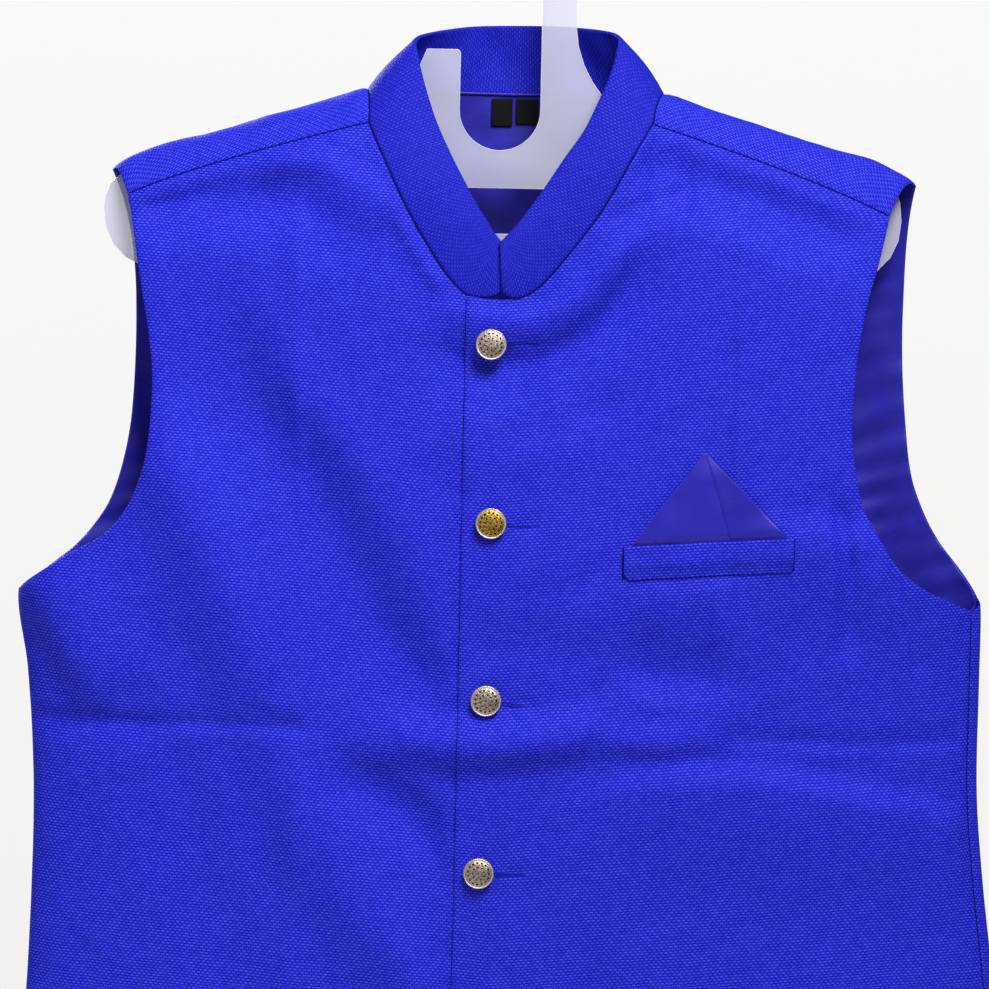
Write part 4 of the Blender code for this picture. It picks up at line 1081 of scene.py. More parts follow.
@dataclass
class BackPanel:
    """The back with its two extensions over the shoulders, and the satin inside it."""

    wall: float = 1.4
    roll: float = 3.2
    step: float = 4.0
    lining_wall: float = 0.8
    lining_step: float = 3.4
    lining_hem: float = 18.0
    lining_set: float = 1.9
    seam_turn: float = 0.0035  # turn that parts it from the fronts
    shoulder_width: float = 150.0
    neck_width: float = 174.0
    extension: float = 26.0  # from the fold line to the forward seam
    level_below: float = 80.0  # drop where the weave's rows stop lying level

    def edges(self, row: Array, side_rows: Sequence[float]) -> tuple[Array, Array, Array, Array]:
        """Turns of the two edges, and drops at centre back and at the edges, at row numbers."""
        side = [(drop + PATTERN.back_sag * float(PATTERN.row_sag(drop)), drop) for drop in side_rows]
        table = [(index, *pair) for index, pair in enumerate(side + list(PATTERN.back_rows))]
        top = PATTERN.shoulder_tip
        rooted = [(index, math.sqrt(max(mid + 2, 0)), math.sqrt(max(edge - top, 0))) for index, mid, edge in table]
        centre = smooth(rooted, 1, row) ** 2 - 2
        edge = smooth(rooted, 2, row) ** 2 + top
        part = np.clip(row - (len(side_rows) - 1), 0.0, 1.0)
        left = mix(PATTERN.side_turn(True, edge) + self.seam_turn, PATTERN.armhole_turn("back_left", edge), part)
        right = mix(PATTERN.side_turn(False, edge) - self.seam_turn, PATTERN.armhole_turn("back_right", edge), part)
        return left, right, centre, edge

    def columns(self) -> tuple[Array, int, int]:
        """Shares of the way from the left edge to the right, and the numbers of the two neck points' columns."""
        tips = [float(PATTERN.armhole_turn(name, PATTERN.shoulder_tip)) for name in ("back_left", "back_right")]
        necks = [float(FORM.turn_at(FORM.neck_centre + way * FORM.neck_half, 0.0, True)) for way in (1, -1)]
        at = [(turn - tips[0]) / (tips[1] - tips[0]) for turn in necks]
        shoulder = shares(self.shoulder_width, self.step)
        left, right = shoulder * at[0], at[1] + shoulder * (1 - at[1])
        neck = at[0] + shares(self.neck_width, self.step)[1:-1] * (at[1] - at[0])
        return np.concatenate([left, neck, right]), len(left) - 1, len(left) + len(neck)

    def grid(self, side_rows: Sequence[float], step: float) -> Pair:
        """Turns and drops of the back's rows, from its lower edge to the shoulders' fold line."""
        count = len(side_rows) + len(PATTERN.back_rows)
        knots = np.arange(count)
        ends = self.edges(knots, side_rows)
        halfway = 60.0
        turn, drop = FORM.turn_at(np.full(count, halfway), ends[2], behind=True), (ends[2] + ends[3]) / 2
        travelled = run_of(FORM.skin(turn, np.maximum(drop, FORM.shoulder_drop(halfway))))
        row = np.interp(stations(travelled[-1], step), travelled, knots)
        left, right, centre, edge = self.edges(row, side_rows)
        turns = mix(left[:, None], right[:, None], self.columns()[0])
        rise = (FORM.shoulder_drop(FORM.x_at(turns, centre[:, None])) + 2) / (PATTERN.shoulder_tip + 2)
        return turns, mix(centre[:, None], edge[:, None], np.clip(rise, 0.0, 1.0))

    def strip(self, name: str, along: Array, step: Array) -> Pair:
        """Turns and drops over one shoulder.

        Args:
            name: The front that the strip meets.
            along: Shares from the shoulder's tip (0) to the neck point (1).
            step: Shares from the fold line (0) to the forward seam (1).

        Returns:
            Turns and drops, one row for each step.
        """
        hole, neck = PATTERN.armholes[name][0], PATTERN.necklines[name][-1]
        is_left = name == "front_left"
        tip_x = smooth(PATTERN.armholes["back_left" if is_left else "back_right"], 1, PATTERN.shoulder_tip)
        neck_x = FORM.neck_centre + (FORM.neck_half if is_left else -FORM.neck_half)
        top = mix(FORM.turn_at(tip_x, PATTERN.shoulder_tip), FORM.turn_at(neck_x, 0.0), along)
        seam = mix(FORM.turn_at(hole[1], hole[0]), FORM.turn_at(neck[1], neck[0]), along)
        seam_drop = mix(hole[0], neck[0], along) - PATTERN.seam_gap
        root = np.sqrt(seam_drop - FORM.shoulder_drop(FORM.x_at(seam, seam_drop)))[None, :] * step[:, None]
        turn = mix(top[None, :], seam[None, :], step[:, None])
        return turn, FORM.drop_below(turn, root)

    def lifted(self, turn: Array, drop: Array, raised: float) -> Pair:
        """Points of the back's face with its creases, and the way out at each."""
        skin, out = FORM.face(turn, drop)
        x = skin[..., 0]
        behind = np.clip(-np.cos(turn * np.pi / 2) * 3, 0, 1)
        lift = (creased(BACK_CREASES, x, drop) + unevenness(x, drop, 3.0)) * behind + raised
        return skin + out * lift[..., None], out

    def strip_waves(self, x: Array, step: Array) -> Array:
        """The soft waves of a shoulder's extension, drawn along its seam, in millimetres."""
        wave = 0.5 * np.sin(x / 7.1 + 0.6) + 0.35 * np.sin(x / 4.3 + 2.0) + 0.4 * np.sin(x / 12.7)
        return wave * np.sin(np.pi * np.clip(step, 0, 1)) * 1.4

    def build(self, suiting: Material) -> Object:
        """The back as one piece, over the shoulders to the forward seams."""
        turn, drop = self.grid(PATTERN.side_rows, self.step)
        points, out = self.lifted(turn, drop, 0.0)
        shell = Shell("back_cloth", self.wall, self.roll, 0.8)
        run, rise = run_of(points * LEVEL, 1), run_of(points)
        run = run - run[:, [run.shape[1] // 2]]
        upright = drop.mean(axis=1) > self.level_below
        turned = rise - rise[upright][-1:] + points[upright][-1:, :, 2]
        rise = np.where(upright[:, None], points[..., 2], turned)
        numbers = shell.add(points, out, np.stack([run, rise], axis=-1))
        shell.join(numbers)
        columns, left_neck, right_neck = self.columns()
        step = stations(self.extension, 1.8, fine_start=False)[1:] / self.extension
        sides = {"front_left": slice(0, left_neck + 1), "front_right": slice(right_neck, len(columns))}
        for name, part in sides.items():
            held = columns[part]
            along = (held - held[0]) / (held[-1] - held[0])
            along = along if name == "front_left" else 1 - along
            turns, drops = self.strip(name, along, step)
            over, over_out = self.lifted(turns, drops, 0.0)
            over = over + over_out * self.strip_waves(over[..., 0], step[:, None])[..., None]
            edge = points[-1:, part]
            climbed = run_of(np.concatenate([edge, over]))[1:] + rise[-1:, part]
            maps = np.stack([np.broadcast_to(run[-1:, part], climbed.shape), climbed], axis=-1)
            strip = shell.add(over, over_out, maps)
            shell.join(np.vstack([numbers[-1:, part], strip]))
        piece = shell.build(suiting)
        return settle(piece, "royal_blue_suiting", "back")

    def build_lining(self, satin: Material) -> Object:
        """The satin inside the back, wrinkled where it is looser than the cloth."""
        rows = (PATTERN.hem - self.lining_hem, *PATTERN.side_rows[1:])
        turn, drop = self.grid(rows, self.lining_step)
        points, out = self.lifted(turn, drop, -self.lining_set)
        x = points[..., 0]
        near_side = ease((np.abs(x - FORM.neck_centre) - 120) / 60) * ease((drop - 60) / 60)
        slack = 0.6 + 0.4 * np.sin(x / 13.0 + drop / 23.0)
        ripple = slack * np.sin(drop / 2.9 + x / 11.0 + 1.3 * np.sin(drop / 19.0))
        ripple = ripple + 0.7 * np.sin(x / 7.3 - drop / 31.0)
        points = points - out * (0.8 * (1.4 + ripple) * near_side)[..., None]
        shell = Shell("back_lining_satin", self.lining_wall, roll=1.2)
        shell.grid(points, out, np.stack([run_of(points, 1), run_of(points)], axis=-1))
        piece = shell.build(satin)
        return settle(piece, "lining_satin", "back_lining")


@dataclass
class Collar:
    """The stiffened band collar, open at centre front, its lower corners rounded."""

    wall: float = 2.8
    gap: float = 0.3
    neck_gap: float = 0.3
    end_lift: float = 2.4
    end_gap: float = -0.2
    piping: float = 1.0
    piping_set: float = 3.3
    corner: float = 7.0
    crown: float = 1.7
    band: float = 38.0
    step: float = 1.9
    piping_from: float = 7.0  # y where the piping starts, behind the neck points
    neck_offsets: tuple[float, ...] = (85.2, 80.0, 65.0, 36.0)  # of the back neck's points from its middle
    top: Table = (  # share of its length from the right front's end, x, drop, y
        (0.0, 3.3, 88.6, -35.6), (0.04, -2.2, 81.6, -35.8), (0.075, -6.5, 75.0, -35.2), (0.108, -12.5, 65.4, -34.0),
        (0.145, -19.5, 52.6, -32.0), (0.185, -27.5, 37.2, -29.0), (0.226, -35.8, 19.5, -25.0),
        (0.253, -41.0, 5.4, -21.5), (0.277, -45.6, -9.5, -16.0), (0.298, -49.0, -22.5, -9.0),
        (0.317, -50.6, -30.5, 0.0), (0.348, -46.5, -35.6, 9.5), (0.425, -20.5, -41.6, 25.2), (0.496, 9.2, -43.2, 30.0),
        (0.567, 39.4, -42.8, 25.4), (0.644, 63.4, -39.4, 9.5), (0.676, 69.3, -35.0, 0.5), (0.694, 68.0, -27.5, -6.0),
        (0.71, 65.9, -19.5, -11.0), (0.727, 62.8, -10.0, -17.0), (0.752, 57.0, 4.2, -23.5), (0.786, 48.6, 22.0, -28.4),
        (0.826, 37.6, 38.6, -33.0), (0.868, 26.2, 56.6, -36.4), (0.912, 14.4, 73.6, -39.0), (0.955, 6.8, 83.0, -40.0),
        (1.0, 1.3, 88.6, -40.2),
    )

    def half_seam(self, name: str, back: BackPanel) -> Pair:
        """Turns and drops of the neck seam from centre front to one neck point."""
        way = 1 if name == "front_left" else -1
        end_x, end_drop = CENTRE_FRONT + way * self.end_gap, PATTERN.neck_front[2] - self.end_lift
        pairs = list(zip(PATTERN.placket, PATTERN.neck_front))[::way][3:-1]
        spots = [(end_x, end_drop)] + pairs + [(x, drop) for drop, x in PATTERN.necklines[name]]
        x, drop = np.array(spots).T
        strip = [back.strip(name, np.array([1.0]), np.array([step / 4])) for step in (3, 2, 1)]
        turns = np.concatenate([FORM.turn_at(x, drop), [float(s[0][0, 0]) for s in strip]])
        return turns, np.concatenate([drop, [float(s[1][0, 0]) for s in strip]])

    def seam(self, back: BackPanel) -> Pair:
        """Points and outward vectors of the whole neck seam, from the right front's end to the left's."""
        offsets = np.array((FORM.neck_half, *self.neck_offsets))
        across = np.concatenate([-offsets, [0.0], offsets[::-1]])
        behind = FORM.turn_at(FORM.neck_centre + across, np.zeros(len(across)), behind=True)
        behind_drop = FORM.shoulder_drop(FORM.x_at(behind, 0.0))
        right, left = self.half_seam("front_right", back), self.half_seam("front_left", back)
        turns = np.concatenate([right[0], behind, left[0][::-1]])
        drops = np.concatenate([right[1], behind_drop, left[1][::-1]])
        points, out = FORM.face(turns, drops)
        lift = np.where(np.arange(len(turns)) >= len(turns) - len(left[0]), PATTERN.lift_at(points[:, 0]), 0.0)
        return points + out * lift[:, None], out

    def build(self, back: BackPanel, suiting: Material) -> Object:
        """Makes the collar on the neck seam."""
        at, seam, normal = self.seam_line(back, self.step, True)
        share = at / at[-1]
        top = smooth_columns(self.top, (1, 3, 2), share)
        top[:, 2] = NECK_POINT_Z - top[:, 2]
        along = unit(np.gradient(seam, at, axis=0))
        up = unit(np.cross(along, normal))
        up = up * np.sign(np.einsum("ij,ij->i", up, top - seam))[:, None]
        foot = seam + up * mix(self.gap, self.neck_gap, np.abs(normal[:, 2:3]))
        out = unit(np.cross(along + unit(np.gradient(top, at, axis=0)), top - foot))
        out = out * np.sign(np.einsum("ij,ij->i", out, normal))[:, None]
        from_end = np.minimum(at, at[-1] - at)
        bite = self.corner - np.sqrt(np.maximum(self.corner**2 - np.maximum(self.corner - from_end, 0.0) ** 2, 0.0))
        height = np.linalg.norm(top - foot, axis=1)
        rise = shares(self.band, self.step)
        part = mix(bite / height * 0.55, 1.0, rise[:, None])
        points = mix(foot[None], top[None], part[..., None])
        facing = unit(mix(normal[None], out[None], ease(rise * 6)[:, None, None]))
        behind = ease((share - 0.3) / 0.08) * ease((0.7 - share) / 0.08)
        ripple = np.sin(at / 8.3 + part * 2.6) + 0.6 * np.sin(at / 4.9 - part * 1.9 + 1.0)
        bulge = self.crown * np.sin(np.pi * part) * (1 + 0.6 * behind * ripple)
        points = points + facing * bulge[..., None]
        shell = Shell("band_collar_cloth", self.wall, roll=1.7)
        maps = np.stack([part * height[None, :], np.broadcast_to(at[None, :], part.shape)], axis=-1)
        shell.grid(points, facing, maps)
        piece = shell.build(suiting)
        return settle(piece, "royal_blue_suiting", "collar")

    def build_piping(self, back: BackPanel, satin: Material) -> Object:
        """The thin satin piping inside the back neck, sewn in with the collar's seam."""
        _, line, out = self.seam_line(back)
        kept = line[:, 1] > self.piping_from
        line, out = line[kept], out[kept]
        rise = unit(np.cross(unit(np.gradient(line, axis=0)), out))
        rise = rise * np.sign(rise[:, 2:3])
        heart = line - out * self.piping_set + rise * 0.5
        return settle(cord("neck_seam_piping", heart, out, self.piping, satin, 10), "lining_satin")

    def seam_line(self, back: BackPanel, step: float = 2.0, fine: bool = False) -> tuple[Array, Array, Array]:
        """The neck seam in short steps: how far along each point is, its place and the way out of the cloth."""
        coarse, coarse_out = self.seam(back)
        travelled = run_of(coarse)
        table = [(t, *p, *n) for t, p, n in zip(travelled, coarse, coarse_out)]
        at = stations(travelled[-1], step, fine, fine)
        return at, smooth_columns(table, (1, 2, 3), at), unit(smooth_columns(table, (4, 5, 6), at))


@dataclass
class SeamShadowThreads:
    """The sunk seams: near-black threads laid in the grooves between the pieces and at the welt's two ends, their dark
    colour a painted shadow of the seams.
    """

    sunk: float = 0.75
    radius: float = 0.42

    def build(self, back: BackPanel, collar: Collar, pocket: "ChestPocket", twist: Material) -> None:
        """Makes the dark threads, painted shadow, of the shoulder, neck and side seams, and of the welt's ends."""
        for name in ("front_right", "front_left"):
            turns, drops = back.strip(name, np.linspace(0.01, 0.985, 60), np.array([1.0]))
            line, out = FORM.face(turns[0], drops[0])
            self.lay(f"shoulder_seam_thread_{name[6:]}", line - out * self.sunk, out, twist)
        _, line, out = collar.seam_line(back)
        self.lay("neck_seam_shadow_thread", (line - out * self.sunk)[2:-2], out[2:-2], twist)
        drops = np.linspace(PATTERN.side_rows[-1] + 6.0, PATTERN.hem - 1.5, 130)
        for name in ("right", "left"):
            line, out = FORM.face(PATTERN.side_turn(name == "left", drops), drops)
            self.lay(f"side_seam_thread_{name}", line - out * self.sunk, out, twist)
        for name, x in (("inner", pocket.left - 0.3), ("outer", pocket.right + 0.4)):
            falls = np.linspace(0.6, pocket.height - 0.8, 10)
            line, out = map(np.array, zip(*(pocket.front.place(x, pocket.welt_top(x) + fall) for fall in falls)))
            self.lay(f"welt_end_thread_{name}", line + out * 0.1, out, twist)

    def lay(self, name: str, line: Array, out: Array, twist: Material) -> None:
        """Lays one thread on its line."""
        settle(cord(name, line, out, self.radius, twist), "royal_blue_suiting")


@dataclass
class ChestPocket:
    """The welt on the left front and the folded square tucked behind it."""

    front: FrontPanel
    left: float = 76.5
    right: float = 173.5
    top: float = 262.0
    height: float = 19.4
    climb: float = 7.2
    seat: float = 0.25
    welt_wall: float = 1.2
    square_wall: float = 1.0
    apex: tuple[float, float] = (122.0, 206.2)
    tuck: float = 3.0
    corner: float = 5.0
    layer_size: tuple[float, float] = (46.0, 54.0)
    layer_fall: float = 0.062  # metres

    def welt_top(self, x: Array) -> Array:
        """Drop of the welt's upper edge."""
        return self.top - self.climb * (x - self.left) / (self.right - self.left)

    def lay(
        self, name: str, x: Array, drop: Array, clear: Array, wall: float, maps: Array, finish: Material
    ) -> Object:
        """Lays a grid of cloth on the front.

        Args:
            name: The piece's name.
            x: Where the grid's points lie across the jacket.
            drop: Where they lie down it.
            clear: How far the cloth's back stands off the front.
            wall: The cloth's thickness.
            maps: The points' places on the cloth.
            finish: The cloth's finish.

        Returns:
            The piece's object.
        """
        points, out = self.front.lifted(FORM.turn_at(x, drop), drop)
        out = unit(out + np.array([0.0, -0.6, 0.0]))
        shell = Shell(name, wall, roll=1.1)
        shell.grid(points + out * (clear + wall)[..., None], out, maps)
        return shell.build(finish)

    def build_welt(self, suiting: Material) -> Object:
        """The welt, its top edge standing off for the square."""
        across = self.left + stations(self.right - self.left, 2.2)
        x, fall = np.meshgrid(across, stations(self.height, 1.6))
        low = np.maximum(fall - (self.height - self.corner), 0.0)
        bite = self.corner - np.sqrt(np.maximum(self.corner**2 - low**2, 0.0))
        x = x + bite * np.clip((self.left + 12 - x) / 12, 0, 1)
        stand_off = 2 * (self.square_wall + self.seat) + self.seat
        clear = mix(stand_off, self.seat, ease((fall - 9.5) / (self.height - 9.5)))
        maps = np.stack([x - self.left, -fall], axis=-1)
        piece = self.lay("pocket_welt_cloth", x, self.welt_top(x) + fall, clear, self.welt_wall, maps, suiting)
        return settle(piece, "royal_blue_suiting", "pocket_welt")

    def build_layer(self, name: str, foot: tuple[float, float], layer: int, satin: Material) -> Object:
        """One visible layer of the square, from its apex down into the welt."""
        along, down = (shares(length, 1.6) for length in self.layer_size)
        share, part = np.meshgrid(along, mix(0.02, 1.0, down))
        foot_x = mix(foot[0], foot[1], share)
        x = mix(self.apex[0], foot_x, part)
        drop = mix(self.apex[1], self.welt_top(foot_x) + self.tuck, part)
        above = self.welt_top(x) - drop
        puff = 1.1 * ease(above / 3.5) - 0.5 * ease((6 - above) / 6)
        fold = 0.8 * ease(share * 2.5) if layer == 0 else 0.5 * ease(share * 1.4 - 0.4)
        clear = self.seat + layer * (self.square_wall + self.seat) + (puff + fold) * ease(part * 3)
        clear = clear + 0.3 * np.sin(part * 5 + share * 4) * part
        maps = np.stack([x, -drop], axis=-1)
        piece = self.lay(f"{name}_satin", x, drop, np.maximum(clear, 0.2), self.square_wall * 0.8, maps, satin)
        return settle(piece, "lining_satin", name)


@dataclass
class NeckLabels:
    """Two bare woven tabs below the back neck seam."""

    tabs: dict[str, tuple[float, float, float]] = field(
        default_factory=lambda: {"neck_label_wide": (-5.0, 7.4, 16.4), "neck_label_narrow": (9.4, 22.6, 15.0)}
    )
    wall: float = 0.8
    inset: float = 4.2

    def build(self, back: BackPanel, tape: Material) -> None:
        """Makes both tabs, just clear of the lining."""
        for name, (left, right, bottom) in self.tabs.items():
            x, drop = np.meshgrid(left + stations(right - left, 1.5), stations(bottom, 1.5))
            points, out = back.lifted(FORM.turn_at(x, drop, behind=True), drop, -self.inset)
            shell = Shell(f"{name}_tape", self.wall, roll=0.6)
            shell.grid(points, -out, np.stack([x, -drop], axis=-1))
            piece = shell.build(tape)
            settle(piece, "woven_label", name)


@dataclass
class Buttons:
    """Five struck metal buttons down the centre front, each square to the cloth under it."""

    front: FrontPanel
    radius: float = 9.0
    dome: float = 4.4
    edge: float = 1.2
    shank_radius: float = 2.4
    shank: float = 1.8
    seat: float = 0.4
    sides: int = 64
    crown_steps: int = 14
    crown_share: float = 0.87  # share of the radius that the crown takes, inside the rim
    rim: Table = ((0.895, 0.05), (0.92, 0.22), (0.945, 0.18), (0.97, -0.12), (0.99, -0.6))  # radius share, rise
    places: tuple[Point, ...] = ((147.5, -2.2), (250, -0.2), (352, -1.0), (451.5, -3.2), (551, -6.0))

    def profile(self) -> list[Point]:
        """Radius and height of the turned face, from the crown out over the beaded rim to the shank."""
        crown = []
        for step in range(self.crown_steps + 1):
            share = step / self.crown_steps * self.crown_share
            height = self.edge + (self.dome - self.edge) * math.sqrt(1 - share**2) * 0.96
            ring = 0.16 * math.exp(-(((share - 0.62) / 0.035) ** 2)) + 0.12 * math.exp(-(((share - 0.3) / 0.03) ** 2))
            crown.append((self.radius * share, height + ring))
        turned = crown + [(self.radius * share, crown[-1][1] + rise) for share, rise in self.rim]
        turned += [(self.radius, self.edge), (self.radius, 0.5), (self.radius - 0.25, 0.12), (self.radius - 0.7, 0.0)]
        return turned + [(self.shank_radius, 0.0), (self.shank_radius, -self.shank), (0.0, -self.shank)]

    def face(self, finish: Material) -> Mesh:
        """One button, its axis on +Z, with its face map in metres from its centre."""
        work = bmesh.new()
        points = [work.verts.new((radius * MM, 0, height * MM)) for radius, height in self.profile()]
        chain = [work.edges.new(pair) for pair in zip(points, points[1:])]
        whole = {"steps": self.sides, "angle": math.tau, "use_merge": True}
        bmesh.ops.spin(work, geom=points + chain, axis=(0, 0, 1), cent=(0, 0, 0), **whole)
        bmesh.ops.remove_doubles(work, verts=work.verts, dist=1e-6)
        bmesh.ops.recalc_face_normals(work, faces=work.faces)
        layer = work.loops.layers.uv.new("cloth")
        for polygon in work.faces:
            for loop in polygon.loops:
                loop[layer].uv = loop.vert.co.xy
        return end_bmesh(work, "button", 50, finish)

    def build(self, worn: Material, gilt: Material) -> None:
        """Makes the five buttons, the second of them with its gilt less worn."""
        for number, (drop, x) in enumerate(self.places, start=1):
            point, out = self.front.place(x, drop)
            seat = Vector(point + out * (self.seat + self.shank)) * MM
            turn = Vector(out).to_track_quat("Z", "Y").to_matrix().to_4x4() @ Matrix.Rotation(0.37 * number, 4, "Z")
            mesh = self.face(gilt if number == 2 else worn)
            mesh.transform(Matrix.Translation(seat) @ turn)
            settle(place_mesh(f"struck_button_{number}", mesh), "antique_brass", f"button_{number}")


@dataclass
class Buttonholes:
    """Five worked buttonholes in the left front: two rows of stitches along the slit, which close at its end."""

    front: FrontPanel
    buttons: Buttons
    ends: tuple[Point, ...] = ((145.7, 25.0), (250.6, 27.2), (354.0, 27.7), (452.0, 23.4), (551.0, 21.0))
    start: float = 3.0
    lip: float = 0.75
    sag: float = 0.5
    pitch: float = 0.55
    thread: float = 0.26
    stitch: float = 1.2
    raised: tuple[float, float] = (0.04, 0.14)  # of the upper and the lower row

    def stitch_tree(self, finish: Material) -> bpy.types.NodeTree:
        """A tree that lays a short bar of thread on every point of a mesh, turned by its attribute."""
        tree = bpy.data.node_groups.new("worked_stitches", "GeometryNodeTree")
        tree.interface.new_socket("Geometry", in_out="INPUT", socket_type="NodeSocketGeometry")
        for name, value in (("Length", 2.0), ("Thickness", 0.5)):
            tree.interface.new_socket(name, in_out="INPUT", socket_type="NodeSocketFloat").default_value = value
        tree.interface.new_socket("Geometry", in_out="OUTPUT", socket_type="NodeSocketGeometry")
        source = add_node(tree, "NodeGroupInput")
        sphere = add_node(tree, "GeometryNodeMeshUVSphere", 7, 4, 0.5)
        length, thick = (source.outputs[name] for name in ("Length", "Thickness"))
        size = add_node(tree, "ShaderNodeCombineXYZ", length, thick, thick)
        bar = add_node(tree, "GeometryNodeTransform", sphere.outputs["Mesh"], Scale_in=size.outputs[0])
        turn = add_node(tree, "GeometryNodeInputNamedAttribute", "turn", data_type="FLOAT_VECTOR")
        limits = {"Min_in": (0.9, 0.85, 0.85), "Max_in": (1.1, 1.1, 1.1), "Seed_in": 7}
        vary = add_node(tree, "FunctionNodeRandomValue", data_type="FLOAT_VECTOR", **limits)
        given = {"Instance_in": bar.outputs[0], "Rotation_in": turn.outputs[0], "Scale_in": vary.outputs[0]}
        laid = add_node(tree, "GeometryNodeInstanceOnPoints", source.outputs["Geometry"], **given)
        real = add_node(tree, "GeometryNodeRealizeInstances", laid.outputs[0])
        dyed = add_node(tree, "GeometryNodeSetMaterial", real.outputs[0], Material_in=finish)
        add_node(tree, "NodeGroupOutput", dyed.outputs[0])
        return tree

    def marks(self) -> tuple[list[Array], list[tuple[float, float, float]]]:
        """Places of the stitches and how each is turned."""
        places, turns = [], []
        for (drop, end), (button_drop, button_x) in zip(self.ends, self.buttons.places):
            start = button_x + self.start
            count = int((end - start) / self.pitch)
            for side, raised in zip((-1, 1), self.raised):
                for step in range(count):
                    share = step / (count - 1)
                    x = mix(start, end, share)
                    at = mix(button_drop, drop, min((x - start) / 12, 1.0))
                    at = at + side * self.lip * (1 - share**3) + self.sag
                    point, out = self.front.place(x, at)
                    places.append(point + out * raised)
                    turns.append((0.0, math.pi / 2, 0.0))
        return places, turns

    def build(self, finish: Material) -> Object:
        """Makes all the stitches as one plain mesh."""
        places, turns = self.marks()
        mesh = bpy.data.meshes.new("stitch_places")
        mesh.from_pydata([tuple(place * MM) for place in places], [], [])
        turned = mesh.attributes.new("turn", "FLOAT_VECTOR", "POINT")
        turned.data.foreach_set("vector", np.array(turns, np.float32).ravel())
        seed = place_mesh("stitch_places", mesh)
        tree = self.stitch_tree(finish)
        modifier = seed.modifiers.new("stitches", "NODES")
        modifier.node_group = tree
        sizes = {"Length": self.stitch * MM, "Thickness": 2 * self.thread * MM}
        for item in tree.interface.items_tree:
            if item.in_out == "INPUT" and item.name in sizes:
                modifier[item.identifier] = sizes[item.name]
        evaluated = seed.evaluated_get(bpy.context.evaluated_depsgraph_get())
        plain = bpy.data.meshes.new_from_object(evaluated)
        bpy.data.objects.remove(seed)
        piece = place_mesh("buttonhole_stitches", plain)
        plain.name = piece.name
        plain.shade_smooth()
        return settle(piece, "royal_blue_suiting")


